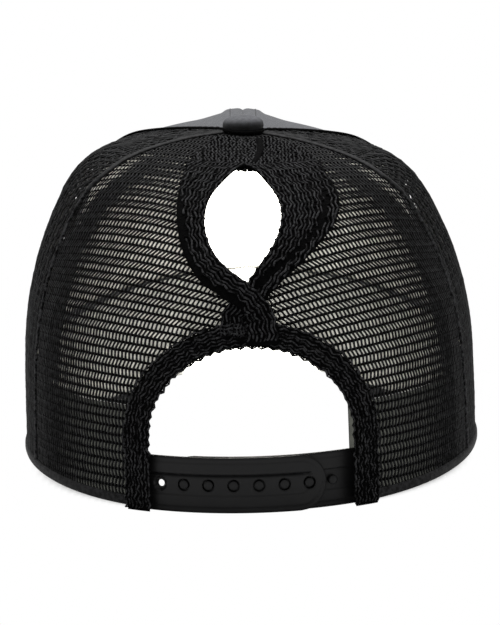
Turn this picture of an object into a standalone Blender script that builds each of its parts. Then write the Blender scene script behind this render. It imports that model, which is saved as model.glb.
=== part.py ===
"""Trucker cap: cotton front, net sides and back, crossed bands round a pony-tail hole, snap strap.

Metres, +Z up, brim towards +Y. Angles round the crown start at its back and grow towards +X.
A place on the crown is (angle, along): along runs from 0 at the rim to 1 at the apex.
"""
import math

import bmesh
import bpy
from mathutils import Vector

# Crown
CROWN_HALF_WIDTH = 0.0815
CROWN_HALF_LENGTH = 0.098
CROWN_HEIGHT = 0.1185
RIM_RISE = 0.021
ROOF_RIDGE = 0.0048
ROOF_RIDGE_SPREAD = math.radians(60.0)
ROOF_LEAN = 0.045
TOP_HOLE_RADIUS = 0.0022
GAP = 0.0003

# Seams, as angles from the back
SIDE_SEAM = math.radians(70.0)
FRONT_SEAM = math.radians(119.0)

# Cloth walls
COTTON_WALL = 0.0012
NET_WALL = 0.001
LINING_WALL = 0.0012
TAPE_WALL = 0.001
TAPE_WIDTH = 0.0075
TAPE_FROM_SEAM = 0.0065
SWEATBAND_WALL = 0.0015
SWEATBAND_HEIGHT = 0.032
SWEATBAND_LIFT = 0.001

# Arched opening above the strap, and the pony-tail hole above it
ARCH_HALF_WIDTH = 0.0345
ARCH_SPRING = 0.025
ARCH_RISE = 0.0315
HEM_WIDTH = 0.0075
HEM_LAP = 0.0006
BRIDGE_HEIGHT = 0.0212
HOLE_HALF_WIDTH = 0.013
HOLE_HEIGHT = 0.052
BAND_WIDTH = 0.011
BAND_SHIFT = 0.0097
BAND_TOP = 0.94

# Snap strap
STRAP_HEIGHT = 0.019
STRAP_WALL = 0.0015
STRAP_TAB = 0.0095
PEG_COUNT = 7
PEG_PITCH = 0.0089
PEG_RADIUS = 0.0016
PEG_RECESS = 0.0002
HOLE_CLEARANCE = 0.0006
STRAP_END_MARGIN = 0.0063
FIRST_HOLE = -0.0333

# Brim and button
BRIM_LENGTH = 0.068
BRIM_HALF_WIDTH = 0.0745
BRIM_WALL = 0.0035
BRIM_RISE = 0.0145
BRIM_FULLNESS = 0.62
BUTTON_RADIUS = 0.0073
BUTTON_HEIGHT = 0.0048

# Sections of the crown: shares of its half width, half length and height, seen at the side seams,
# the back and the front
CROWN_COLUMNS = ("along", "side_out", "side_up", "back_out", "back_up", "front_out", "front_up")
CROWN_SECTIONS = (
    (0.00, 1.000, 0.000, 1.000, 0.000, 1.000, 0.000),
    (0.14, 0.998, 0.200, 0.995, 0.190, 0.985, 0.200),
    (0.28, 0.985, 0.400, 0.980, 0.370, 0.960, 0.420),
    (0.41, 0.940, 0.570, 0.935, 0.540, 0.920, 0.610),
    (0.52, 0.865, 0.720, 0.865, 0.680, 0.860, 0.780),
    (0.62, 0.770, 0.850, 0.760, 0.795, 0.780, 0.890),
    (0.71, 0.660, 0.920, 0.635, 0.875, 0.670, 0.942),
    (0.79, 0.520, 0.950, 0.495, 0.930, 0.510, 0.972),
    (0.89, 0.270, 0.980, 0.260, 0.972, 0.270, 0.994),
    (1.00, 0.000, 1.000, 0.000, 1.000, 0.000, 1.000),
)

# Height of the rim round the head, as shares of RIM_RISE
RIM_COLUMNS = ("degrees", "rise")
RIM_SECTIONS = ((0, 0.0), (45, 0.10), (90, 0.29), (120, 0.43), (150, 0.81), (180, 1.0))

# The side seam wanders: its angle up the crown, as shares of SIDE_SEAM
SEAM_COLUMNS = ("along", "turn")
SEAM_SECTIONS = ((0.0, 1.0), (0.3, 0.97), (0.5, 0.94), (0.62, 0.90), (0.72, 0.87), (0.83, 0.94),
                 (0.92, 1.02), (1.0, 1.06))

# Pony-tail hole from its foot (0) to its head (1): half widths as shares of HOLE_HALF_WIDTH
HOLE_COLUMNS = ("station", "left", "right")
HOLE_SECTIONS = (
    (0.00, 0.00, 0.00),
    (0.10, 0.54, 0.26),
    (0.20, 0.84, 0.55),
    (0.30, 1.00, 0.77),
    (0.40, 1.06, 0.89),
    (0.50, 1.03, 0.92),
    (0.60, 0.94, 0.87),
    (0.70, 0.78, 0.74),
    (0.80, 0.57, 0.56),
    (0.90, 0.33, 0.36),
    (0.97, 0.13, 0.18),
    (1.00, 0.00, 0.00),
)

# Bands beside the hole. Stations: -1 is the top of the arch, 0 and 1 the foot and head of the hole,
# 2 the button. Widths are shares of BAND_WIDTH, tilt is the fall of the outer edge in degrees, and
# over is the share of one layer by which the band climbs on its neighbour.
BAND_COLUMNS = ("station", "width", "tilt", "over")
BAND_LEFT = (
    (2.00, 0.80, 0, 0.0), (1.50, 1.30, 0, 0.0), (1.15, 1.60, 0, 0.0), (1.00, 1.66, 0, 0.0),
    (0.90, 1.43, 0, 0.0), (0.80, 1.24, 0, 0.0), (0.70, 1.08, 0, 0.0), (0.60, 0.96, 0, 0.0),
    (0.50, 0.89, 0, 0.0), (0.40, 0.85, 8, 0.0), (0.30, 0.87, 20, 0.0), (0.20, 0.89, 30, 0.3),
    (0.10, 0.90, 38, 1.0), (0.00, 0.80, 50, 1.0), (-0.15, 0.75, 46, 1.0), (-0.34, 0.80, 30, 1.0),
    (-0.49, 0.85, 15, 1.0), (-0.70, 0.90, 0, 1.0), (-0.99, 0.95, 0, 1.0),
)
BAND_RIGHT = (
    (2.00, 0.80, 0, 0.0), (1.50, 1.75, 0, 0.0), (1.15, 2.15, 0, 0.0), (1.00, 2.25, 0, 0.0),
    (0.90, 2.00, 0, 0.0), (0.80, 1.92, 0, 0.0), (0.70, 1.85, 0, 0.0), (0.60, 1.82, 0, 0.0),
    (0.50, 1.82, 0, 0.0), (0.40, 1.72, 5, 0.0), (0.30, 1.40, 11, 0.0), (0.20, 1.12, 18, 0.0),
    (0.10, 0.88, 26, 0.0), (0.00, 0.72, 40, 0.0), (-0.15, 0.75, 44, 0.0), (-0.34, 0.80, 30, 0.0),
    (-0.49, 0.85, 12, 0.0), (-0.60, 0.87, 0, 0.0),
)

# Inner edge of a band's tail below the hole, as shares of BAND_SHIFT past the centre line
TAIL_COLUMNS = ("station", "shift")
TAIL_SECTIONS = ((-1.0, 1.0), (-0.7, 0.96), (-0.49, 0.87), (-0.34, 0.70), (-0.15, 0.36), (0.0, 0.0))

# Height of the brim's front edge over its lowest points, as shares of BRIM_RISE
BRIM_COLUMNS = ("across", "rise")
BRIM_SECTIONS = ((0.0, 1.0), (0.35, 0.80), (0.6, 0.36), (0.75, 0.07), (0.83, 0.0), (0.91, 0.04),
                 (1.0, 0.24))

# Button outline from the centre of its underside to its crown
BUTTON_COLUMNS = ("radius", "height")
BUTTON_SECTIONS = ((0.60, 0.0), (0.93, 0.02), (1.0, 0.16), (1.0, 0.40), (0.93, 0.66), (0.72, 0.88),
                   (0.38, 0.98))

# Mesh divisions
PANEL_COLUMNS = 10
PANEL_ROWS = 14
ARCH_STEPS = 9
SWEATBAND_STEPS = 60
STRAP_STEPS = 30
STRAP_ROWS = 6
BRIM_STEPS = 28
BRIM_ROWS = 7
BUTTON_SIDES = 24
PEG_SIDES = 12

# Depths below the crown's outer face, front faces of each layer
UNDER_PANEL = COTTON_WALL + GAP
STRAP_OUTER_DEPTH = NET_WALL + GAP
STRAP_INNER_DEPTH = STRAP_OUTER_DEPTH + STRAP_WALL + GAP
SWEATBAND_END_DEPTH = STRAP_INNER_DEPTH + STRAP_WALL + GAP
LAYER = NET_WALL + GAP
PANEL_FRONT = 0.0

COLOURS = {
    "cotton": ((0.040, 0.041, 0.046, 1.0), 0.95, 0.0),
    "net": ((0.010, 0.010, 0.011, 1.0), 0.7, 0.0),
    "lining": ((0.62, 0.60, 0.55, 1.0), 0.95, 0.0),
    "sweat": ((0.09, 0.09, 0.085, 1.0), 0.95, 0.0),
    "plastic": ((0.012, 0.012, 0.013, 1.0), 0.38, 0.0),
}


def column(rows, columns, name):
    """The values of one named column of a table."""
    k = columns.index(name)
    return [row[k] for row in rows]


def smooth(xs, ys, x):
    """Value at x of a smooth curve through the points (xs, ys), with xs growing."""
    x = min(max(x, xs[0]), xs[-1])
    i = 0
    while i < len(xs) - 2 and x > xs[i + 1]:
        i += 1
    h = xs[i + 1] - xs[i]
    slopes = []
    for k in (i, i + 1):
        a = max(k - 1, 0)
        b = min(k + 1, len(xs) - 1)
        slopes.append((ys[b] - ys[a]) / (xs[b] - xs[a]))
    u = (x - xs[i]) / h
    return ((2 * u ** 3 - 3 * u ** 2 + 1) * ys[i] + (u ** 3 - 2 * u ** 2 + u) * h * slopes[0]
            + (3 * u ** 2 - 2 * u ** 3) * ys[i + 1] + (u ** 3 - u ** 2) * h * slopes[1])


def section(name, along):
    return smooth(column(CROWN_SECTIONS, CROWN_COLUMNS, "along"),
                  column(CROWN_SECTIONS, CROWN_COLUMNS, name), along)


def rim_height(angle):
    degrees = abs(math.degrees(math.atan2(math.sin(angle), math.cos(angle))))
    rise = smooth(column(RIM_SECTIONS, RIM_COLUMNS, "degrees"),
                  column(RIM_SECTIONS, RIM_COLUMNS, "rise"), degrees)
    return RIM_RISE * rise


def blended(kind, angle, along):
    """Share of a crown section between the side, back and front profiles."""
    side = math.sin(angle) ** 2
    end = "back_" if math.cos(angle) > 0 else "front_"
    return side * section("side_" + kind, along) + (1 - side) * section(end + kind, along)


def crown_point(angle, along):
    """Outer face of the crown."""
    out = blended("out", angle, along)
    up = blended("up", angle, along)
    x = CROWN_HALF_WIDTH * math.sin(angle) * out
    y = -CROWN_HALF_LENGTH * math.cos(angle) * out
    foot = rim_height(angle)
    from_front = abs(math.atan2(math.sin(angle), -math.cos(angle)))
    ridge = max(0.0, 1.0 - from_front / ROOF_RIDGE_SPREAD)
    ridge *= math.sin(math.pi * min(1.0, max(0.0, (along - 0.45) / 0.55))) ** 2
    z = foot + (CROWN_HEIGHT - foot) * up + ROOF_RIDGE * ridge - ROOF_LEAN * x * up ** 2
    return Vector((x, y, z))


def crown_normal(angle, along):
    step = 0.003
    low = max(along - step, 0.0)
    high = min(along + step, 1.0)
    round_way = crown_point(angle + step, along) - crown_point(angle - step, along)
    up_way = crown_point(angle, high) - crown_point(angle, low)
    return round_way.cross(up_way).normalized()


def crown_layer(angle, along, depth):
    """A point at a depth below the crown's outer face."""
    return crown_point(angle, along) - crown_normal(angle, along) * depth


def along_at_height(angle, height):
    low = 0.0
    high = 0.9
    for _ in range(30):
        middle = (low + high) / 2
        if crown_point(angle, middle).z < height:
            low = middle
        else:
            high = middle
    return (low + high) / 2


def angle_at_x(x, along):
    """Angle near the back at which the crown is x from the centre plane."""
    angle = 0.0
    for _ in range(12):
        share = x / (CROWN_HALF_WIDTH * blended("out", angle, along))
        angle = math.asin(min(max(share, -0.999), 0.999))
    return angle


def angle_width(width, angle, along):
    """Turn that covers a width on the crown."""
    point = crown_point(angle, along)
    return width / max(math.hypot(point.x, point.y), width)


def climb(start, distance):
    """Move a distance up (or down) the back centre line from a place along it."""
    step = 0.002 if distance > 0 else -0.002
    along = start
    walked = 0.0
    while walked < abs(distance) and 0.0 < along + step < 1.0:
        walked += (crown_point(0.0, along + step) - crown_point(0.0, along)).length
        along += step
    return along - step * (walked - abs(distance)) / max(
        (crown_point(0.0, along) - crown_point(0.0, along - step)).length, 1e-6)


def top_along(angle):
    """Place where the panels stop under the button."""
    low = 0.9
    high = 1.0
    for _ in range(24):
        middle = (low + high) / 2
        point = crown_point(angle, middle)
        if math.hypot(point.x, point.y) > TOP_HOLE_RADIUS:
            low = middle
        else:
            high = middle
    return low


def side_seam(along):
    return SIDE_SEAM * smooth(column(SEAM_SECTIONS, SEAM_COLUMNS, "along"),
                              column(SEAM_SECTIONS, SEAM_COLUMNS, "turn"), along)


def arch_top():
    return ARCH_SPRING + ARCH_RISE


ARCH_TOP_ALONG = along_at_height(0.0, arch_top())
STRAP_TOP_ALONG = along_at_height(0.0, STRAP_HEIGHT)
HOLE_FOOT = climb(ARCH_TOP_ALONG, BRIDGE_HEIGHT)
HOLE_HEAD = climb(HOLE_FOOT, HOLE_HEIGHT)


def station_along(station):
    """Place along the crown of a station on the bands."""
    if station < 0.0:
        return climb(HOLE_FOOT, BRIDGE_HEIGHT * station)
    if station <= 1.0:
        return climb(HOLE_FOOT, HOLE_HEIGHT * station)
    return HOLE_HEAD + (BAND_TOP - HOLE_HEAD) * (station - 1.0)


def hole_edge(side, station):
    """Distance of the hole's edge from the centre plane."""
    name = "left" if side < 0 else "right"
    share = smooth(column(HOLE_SECTIONS, HOLE_COLUMNS, "station"),
                   column(HOLE_SECTIONS, HOLE_COLUMNS, name), station)
    return max(HOLE_HALF_WIDTH * share, GAP / 2)


def arch_edge(turn, widen):
    """Half width and height of the arch at a turn from 0 at its spring to a right angle."""
    half = ARCH_HALF_WIDTH + widen
    rise = ARCH_RISE + widen
    return half * math.cos(turn), ARCH_SPRING + rise * math.sin(turn)


def clear_scene():
    for item in list(bpy.data.objects):
        bpy.data.objects.remove(item, do_unlink=True)


def make_material(name):
    colour, roughness, metallic = COLOURS[name]
    material = bpy.data.materials.new(name)
    material.use_nodes = True
    shader = material.node_tree.nodes["Principled BSDF"]
    shader.inputs["Base Color"].default_value = colour
    shader.inputs["Roughness"].default_value = roughness
    shader.inputs["Metallic"].default_value = metallic
    return material


def add_object(name, mesh, material):
    mesh.materials.append(make_material(material))
    mesh.shade_smooth()
    mesh.set_sharp_from_angle(angle=math.radians(40.0))
    item = bpy.data.objects.new(name, mesh)
    bpy.context.scene.collection.objects.link(item)
    return item


def closed_wall(name, outer, inner, material, ring=False):
    """A solid between two grids of points; a ring joins its last column to its first."""
    mesh = bpy.data.meshes.new(name)
    work = bmesh.new()
    front = [[work.verts.new(p) for p in row] for row in outer]
    back = [[work.verts.new(p) for p in row] for row in inner]
    rows = len(outer)
    columns = len(outer[0])
    last = columns if ring else columns - 1
    for i in range(rows - 1):
        for j in range(last):
            k = (j + 1) % columns
            work.faces.new((front[i][j], front[i][k], front[i + 1][k], front[i + 1][j]))
            work.faces.new((back[i][j], back[i + 1][j], back[i + 1][k], back[i][k]))
    for j in range(last):
        k = (j + 1) % columns
        work.faces.new((front[0][j], back[0][j], back[0][k], front[0][k]))
        work.faces.new((front[-1][j], front[-1][k], back[-1][k], back[-1][j]))
    if not ring:
        for i in range(rows - 1):
            work.faces.new((front[i][0], front[i + 1][0], back[i + 1][0], back[i][0]))
            work.faces.new((front[i][-1], back[i][-1], back[i + 1][-1], front[i + 1][-1]))
    bmesh.ops.recalc_face_normals(work, faces=work.faces[:])
    work.to_mesh(mesh)
    work.free()
    return add_object(name, mesh, material)


def crown_wall(name, places, depth, wall, material):
    """A wall that follows the crown through a grid of (angle, along) places."""
    outer = [[crown_layer(a, t, depth) for a, t in row] for row in places]
    inner = [[crown_layer(a, t, depth + wall) for a, t in row] for row in places]
    return closed_wall(name, outer, inner, material)


def spread(first, last, count):
    return [first + (last - first) * k / count for k in range(count + 1)]


def panel_between(name, start, stop, levels, depth, wall, material):
    """A panel between two edges, each a function from a place along to an angle."""
    places = []
    for along in levels:
        left = start(along)
        right = stop(along)
        places.append([(a, along) for a in spread(left, right, PANEL_COLUMNS)])
    return crown_wall(name, places, depth, wall, material)


def panel_levels():
    top = top_along(math.radians(90.0))
    return [top * (1 - (1 - k / PANEL_ROWS) ** 1.15) for k in range(PANEL_ROWS + 1)]


def inset(angle, side, along, width):
    """An edge moved back from a seam by a width, along the crown."""
    return angle + side * angle_width(width, angle, along)


def front_edges(side, margin):
    """The two edges of a front layer, as functions from a place along to an angle."""
    def outer_edge(along):
        return side * inset(FRONT_SEAM, 1, along, margin)

    def centre_edge(along):
        return side * inset(math.pi, -1, along, margin)

    return outer_edge, centre_edge


def build_front_panels():
    for side, name in ((-1, "front_panel_left"), (1, "front_panel_right")):
        outer_edge, centre_edge = front_edges(side, GAP / 2)
        panel_between(name, outer_edge, centre_edge, panel_levels(), PANEL_FRONT, COTTON_WALL,
                      "cotton")


def build_front_linings():
    foot = along_at_height(math.pi, rim_height(math.pi) + SWEATBAND_LIFT + SWEATBAND_HEIGHT)
    levels = [along for along in panel_levels() if foot < along < BAND_TOP]
    for side, name in ((-1, "front_lining_left"), (1, "front_lining_right")):
        outer_edge, centre_edge = front_edges(side, GAP * 1.5)
        panel_between(name, outer_edge, centre_edge, levels, UNDER_PANEL, LINING_WALL, "lining")


def build_side_panels():
    for side, name in ((-1, "side_mesh_left"), (1, "side_mesh_right")):
        def back_edge(along, side=side):
            return side * inset(side_seam(along), 1, along, GAP / 2)

        def front_edge(along, side=side):
            return side * inset(FRONT_SEAM, -1, along, GAP / 2)

        panel_between(name, back_edge, front_edge, panel_levels(), PANEL_FRONT, NET_WALL, "net")


def back_levels(side):
    """Rows of a back panel: (along, distance of its inner edge from the centre plane)."""
    lap = HEM_LAP
    rows = []
    foot_angle = angle_at_x(side * (ARCH_HALF_WIDTH + lap), 0.0)
    for height in (0.0, ARCH_SPRING * 0.35, ARCH_SPRING * 0.7):
        along = along_at_height(foot_angle, max(height, rim_height(foot_angle) + 1e-5))
        rows.append((along, ARCH_HALF_WIDTH + lap))
    for k in range(ARCH_STEPS):
        half, height = arch_edge(math.pi / 2 * k / ARCH_STEPS, lap)
        angle = angle_at_x(side * half, ARCH_TOP_ALONG * 0.8)
        rows.append((along_at_height(angle, height), half))
    seam = GAP / 2
    rows.append((along_at_height(0.0, arch_top() + lap), seam))
    rows.append(((ARCH_TOP_ALONG + HOLE_FOOT) / 2, seam))
    rows.append((HOLE_FOOT, seam))
    for station in column(HOLE_SECTIONS, HOLE_COLUMNS, "station")[1:-1]:
        rows.append((station_along(station), hole_edge(side, station) + lap))
    rows.append((HOLE_HEAD, seam))
    top = top_along(0.0)
    for share in (0.3, 0.6, 0.85, 1.0):
        rows.append((HOLE_HEAD + (top - HOLE_HEAD) * share, seam))
    return rows


def build_back_panels():
    for side, name in ((-1, "back_mesh_left"), (1, "back_mesh_right")):
        places = []
        for along, half in back_levels(side):
            inner = angle_at_x(side * half, along)
            outer = side * inset(side_seam(along), -1, along, GAP / 2)
            places.append([(a, along) for a in spread(inner, outer, PANEL_COLUMNS)])
        crown_wall(name, places, PANEL_FRONT, NET_WALL, "net")


def build_seam_tapes():
    for side, name in ((-1, "seam_tape_left"), (1, "seam_tape_right")):
        foot = along_at_height(SIDE_SEAM, rim_height(SIDE_SEAM) + SWEATBAND_LIFT + SWEATBAND_HEIGHT)
        places = []
        for along in [row[0] for row in back_levels(side) if foot + 0.02 < row[0] <= HOLE_HEAD]:
            edge = side * inset(side_seam(along), -1, along, TAPE_FROM_SEAM)
            far = side * inset(side_seam(along), -1, along, TAPE_FROM_SEAM + TAPE_WIDTH)
            places.append([(a, along) for a in spread(edge, far, 2)])
        crown_wall(name, places, NET_WALL + GAP, TAPE_WALL, "net")


def back_layer(x, along, depth):
    return crown_layer(angle_at_x(x, along), along, depth)


def hem_rows():
    """Sections across the arch hem: (inner half width, inner height, outer ones) from a foot."""
    rows = []
    for height in (0.0, ARCH_SPRING * 0.5):
        rows.append((ARCH_HALF_WIDTH, height, ARCH_HALF_WIDTH + HEM_WIDTH, height))
    for k in range(ARCH_STEPS + 1):
        turn = math.pi / 2 * k / ARCH_STEPS
        rows.append(arch_edge(turn, 0.0) + arch_edge(turn, HEM_WIDTH))
    return rows


def hem_point(x, height, depth):
    """A point of the hem; the foot of the hem hangs down to the strap's lower edge."""
    angle = angle_at_x(x, ARCH_TOP_ALONG * min(1.0, height / arch_top()))
    along = along_at_height(angle, height)
    angle = angle_at_x(x, along)
    point = crown_layer(angle, along, depth)
    point.z = min(point.z, height) if height < rim_height(angle) else point.z
    return point


def build_arch_hem():
    half = hem_rows()
    rows = [(-1,) + row for row in half] + [(1,) + row for row in reversed(half[:-1])]
    outer = []
    inner = []
    for side, x_in, z_in, x_out, z_out in rows:
        stops = [(side * (x_in + (x_out - x_in) * u), z_in + (z_out - z_in) * u)
                 for u in (0.0, 0.5, 1.0)]
        outer.append([hem_point(x, z, -LAYER) for x, z in stops])
        inner.append([hem_point(x, z, -GAP) for x, z in stops])
    closed_wall("arch_hem", outer, inner, "net")


def band_inner(side, station):
    if station > 1.0:
        return side * GAP / 2
    if station >= 0.0:
        return side * hole_edge(side, station)
    shift = smooth(column(TAIL_SECTIONS, TAIL_COLUMNS, "station"),
                   column(TAIL_SECTIONS, TAIL_COLUMNS, "shift"), station)
    return -side * BAND_SHIFT * shift


def build_bands():
    for side, name, table in ((-1, "pony_band_left", BAND_LEFT), (1, "pony_band_right", BAND_RIGHT)):
        outer = []
        inner = []
        for row in table:
            band = dict(zip(BAND_COLUMNS, row))
            x = band_inner(side, band["station"])
            along = station_along(band["station"])
            fall = math.radians(band["tilt"])
            reach = BAND_WIDTH * band["width"]
            far_x = x + side * reach * math.cos(fall)
            far_along = climb(along, -reach * math.sin(fall)) if band["tilt"] else along
            depth = -GAP - LAYER * band["over"]
            stops = [(x + (far_x - x) * u, along + (far_along - along) * u)
                     for u in spread(0.0, 1.0, 3)]
            outer.append([back_layer(px, t, depth - NET_WALL) for px, t in stops])
            inner.append([back_layer(px, t, depth) for px, t in stops])
        closed_wall(name, outer, inner, "net")


def sweatband_depth(angle):
    """The sweatband lies under the strap's ends at the back, and under the panels elsewhere."""
    from_back = abs(math.atan2(math.sin(angle), math.cos(angle)))
    start = rim_angle(ARCH_HALF_WIDTH + STRAP_TAB) + math.radians(4.0)
    share = min(1.0, max(0.0, (from_back - start) / math.radians(14.0)))
    share = share * share * (3 - 2 * share)
    return SWEATBAND_END_DEPTH + (UNDER_PANEL - SWEATBAND_END_DEPTH) * share


def build_sweatband():
    start = angle_at_x(ARCH_HALF_WIDTH + HEM_LAP, 0.0)
    outer = [[], [], []]
    inner = [[], [], []]
    for angle in spread(start, 2 * math.pi - start, SWEATBAND_STEPS):
        foot = rim_height(angle) + SWEATBAND_LIFT
        depth = sweatband_depth(angle)
        for row, share in enumerate((0.0, 0.5, 1.0)):
            along = along_at_height(angle, foot + SWEATBAND_HEIGHT * share)
            outer[row].append(crown_layer(angle, along, depth))
            inner[row].append(crown_layer(angle, along, depth + SWEATBAND_WALL))
    closed_wall("sweatband", outer, inner, "sweat")


def rim_angle(distance):
    """Angle reached by walking a distance round the rim from the back."""
    step = math.radians(0.25) * (1 if distance > 0 else -1)
    angle = 0.0
    walked = 0.0
    while walked < abs(distance):
        walked += math.hypot(CROWN_HALF_WIDTH * math.cos(angle),
                             CROWN_HALF_LENGTH * math.sin(angle)) * abs(step)
        angle += step
    return angle


def rim_frame(distance, depth):
    """Point on the upright wall of the strap, and the way out of it."""
    angle = rim_angle(distance)
    way_out = Vector((CROWN_HALF_LENGTH * math.sin(angle), -CROWN_HALF_WIDTH * math.cos(angle), 0.0))
    way_out.normalize()
    point = crown_point(angle, STRAP_TOP_ALONG)
    point.z = 0.0
    return point - way_out * depth, way_out


def strap_wall(name, tab, tip, depth):
    """One strap piece from its sewn tab to its round tip, both as distances from the centre."""
    radius = STRAP_HEIGHT / 2
    way = 1 if tip > tab else -1
    outer = []
    inner = []
    for k in range(STRAP_ROWS + 1):
        height = radius - radius * math.cos(math.pi * k / STRAP_ROWS)
        reach = radius - math.sqrt(max(radius ** 2 - (height - radius) ** 2, 0.0))
        stops = spread(tab, tip - way * reach, STRAP_STEPS)
        lift = Vector((0.0, 0.0, height))
        outer.append([rim_frame(s, depth)[0] + lift for s in stops])
        inner.append([rim_frame(s, depth + STRAP_WALL)[0] + lift for s in stops])
    return closed_wall(name, outer, inner, "plastic")


def peg_solid(name, places, radius, near, far):
    """Round pegs across the strap at some places, between two depths, as one object."""
    mesh = bpy.data.meshes.new(name)
    work = bmesh.new()
    for distance in places:
        point, way_out = rim_frame(distance, (near + far) / 2)
        turn = way_out.to_track_quat("Z", "Y").to_matrix().to_4x4()
        turn.translation = point + Vector((0.0, 0.0, STRAP_HEIGHT / 2))
        bmesh.ops.create_cone(work, cap_ends=True, segments=PEG_SIDES, radius1=radius, radius2=radius,
                              depth=far - near, matrix=turn)
    work.to_mesh(mesh)
    work.free()
    item = bpy.data.objects.new(name, mesh)
    bpy.context.scene.collection.objects.link(item)
    item.hide_render = True
    item.display_type = "WIRE"
    return item


def add_boolean(item, tool, operation):
    change = item.modifiers.new(operation.lower(), "BOOLEAN")
    change.operation = operation
    change.solver = "EXACT"
    change.object = tool


def build_straps():
    holes = [FIRST_HOLE + PEG_PITCH * k for k in range(PEG_COUNT)]
    pegs = [place + PEG_PITCH for place in holes]
    tab = ARCH_HALF_WIDTH + STRAP_TAB
    left = strap_wall("strap_left", -tab, holes[-1] + STRAP_END_MARGIN, STRAP_OUTER_DEPTH)
    right = strap_wall("strap_right", tab, pegs[0] - STRAP_END_MARGIN, STRAP_INNER_DEPTH)
    outer_face = STRAP_OUTER_DEPTH
    cutter = peg_solid("hole_cutter", holes, PEG_RADIUS + HOLE_CLEARANCE, outer_face - STRAP_WALL,
                       outer_face + STRAP_WALL * 2)
    add_boolean(left, cutter, "DIFFERENCE")
    tool = peg_solid("peg_tool", pegs, PEG_RADIUS, outer_face + PEG_RECESS,
                     STRAP_INNER_DEPTH + STRAP_WALL / 2)
    add_boolean(right, tool, "UNION")


def build_brim():
    outer = []
    inner = []
    for row in range(BRIM_ROWS + 1):
        v = row / BRIM_ROWS
        top = []
        for k in range(BRIM_STEPS + 1):
            across = -1.0 + 2.0 * k / BRIM_STEPS
            root_angle = math.pi - across * (math.pi - FRONT_SEAM)
            root = crown_layer(root_angle, 0.0, COTTON_WALL)
            root.z = rim_height(root_angle) - GAP
            corner = crown_point(FRONT_SEAM, 0.0)
            reach = CROWN_HALF_LENGTH + BRIM_LENGTH - corner.y
            edge = Vector((BRIM_HALF_WIDTH * math.sin(across * math.pi / 2),
                           corner.y + reach * math.cos(across * math.pi / 2) ** BRIM_FULLNESS, 0.0))
            rise = smooth(column(BRIM_SECTIONS, BRIM_COLUMNS, "across"),
                          column(BRIM_SECTIONS, BRIM_COLUMNS, "rise"), abs(across))
            edge.z = BRIM_WALL + BRIM_RISE * max(rise, 0.0)
            top.append(root.lerp(edge, v))
        outer.append(top)
        inner.append([p - Vector((0.0, 0.0, BRIM_WALL)) for p in top])
    closed_wall("brim", outer, inner, "cotton")


def build_button():
    seat = 0.0
    for k in range(BUTTON_SIDES):
        angle = 2 * math.pi * k / BUTTON_SIDES
        for along in spread(0.9, 1.0, 40):
            point = crown_point(angle, along)
            if math.hypot(point.x, point.y) <= BUTTON_RADIUS:
                seat = max(seat, point.z)
    mesh = bpy.data.meshes.new("button")
    work = bmesh.new()
    rings = []
    for row in BUTTON_SECTIONS:
        share = dict(zip(BUTTON_COLUMNS, row))
        radius = BUTTON_RADIUS * share["radius"]
        ring = []
        for k in range(BUTTON_SIDES):
            turn = 2 * math.pi * k / BUTTON_SIDES
            ring.append(work.verts.new((radius * math.cos(turn), radius * math.sin(turn),
                                        seat + GAP + BUTTON_HEIGHT * share["height"])))
        rings.append(ring)
    for low, high in zip(rings, rings[1:]):
        for k in range(BUTTON_SIDES):
            n = (k + 1) % BUTTON_SIDES
            work.faces.new((low[k], low[n], high[n], high[k]))
    work.faces.new(rings[0])
    work.faces.new(rings[-1])
    bmesh.ops.recalc_face_normals(work, faces=work.faces[:])
    work.to_mesh(mesh)
    work.free()
    add_object("button", mesh, "cotton")


def centre_on_floor():
    """Stand the cap on the floor with the middle of its box over the origin."""
    bpy.context.view_layer.update()
    graph = bpy.context.evaluated_depsgraph_get()
    pieces = [item for item in bpy.data.objects if not item.hide_render]
    corners = []
    for item in pieces:
        shape = item.evaluated_get(graph)
        corners += [item.matrix_world @ vertex.co for vertex in shape.data.vertices]
    low = Vector((min(c.x for c in corners), min(c.y for c in corners), min(c.z for c in corners)))
    high = Vector((max(c.x for c in corners), max(c.y for c in corners), 0.0))
    shift = Vector((-(low.x + high.x) / 2, -(low.y + high.y) / 2, -low.z))
    for item in bpy.data.objects:
        item.location = shift


def main():
    clear_scene()
    build_front_panels()
    build_front_linings()
    build_side_panels()
    build_back_panels()
    build_seam_tapes()
    build_arch_hem()
    build_bands()
    build_sweatband()
    build_straps()
    build_brim()
    build_button()
    centre_on_floor()


main()
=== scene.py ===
"""Trucker cap, dressed: knotted net, folded net bands, cotton front, lining, snap strap, brim and button.

Metres, +Z up, brim towards +Y. Angles round the crown start at its back and grow towards +X.
A place on the crown is (angle, along): along runs from 0 at the rim to 1 at the apex.
"""
import math

import bmesh
import bpy
import numpy as np
from mathutils import Matrix, Vector


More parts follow.
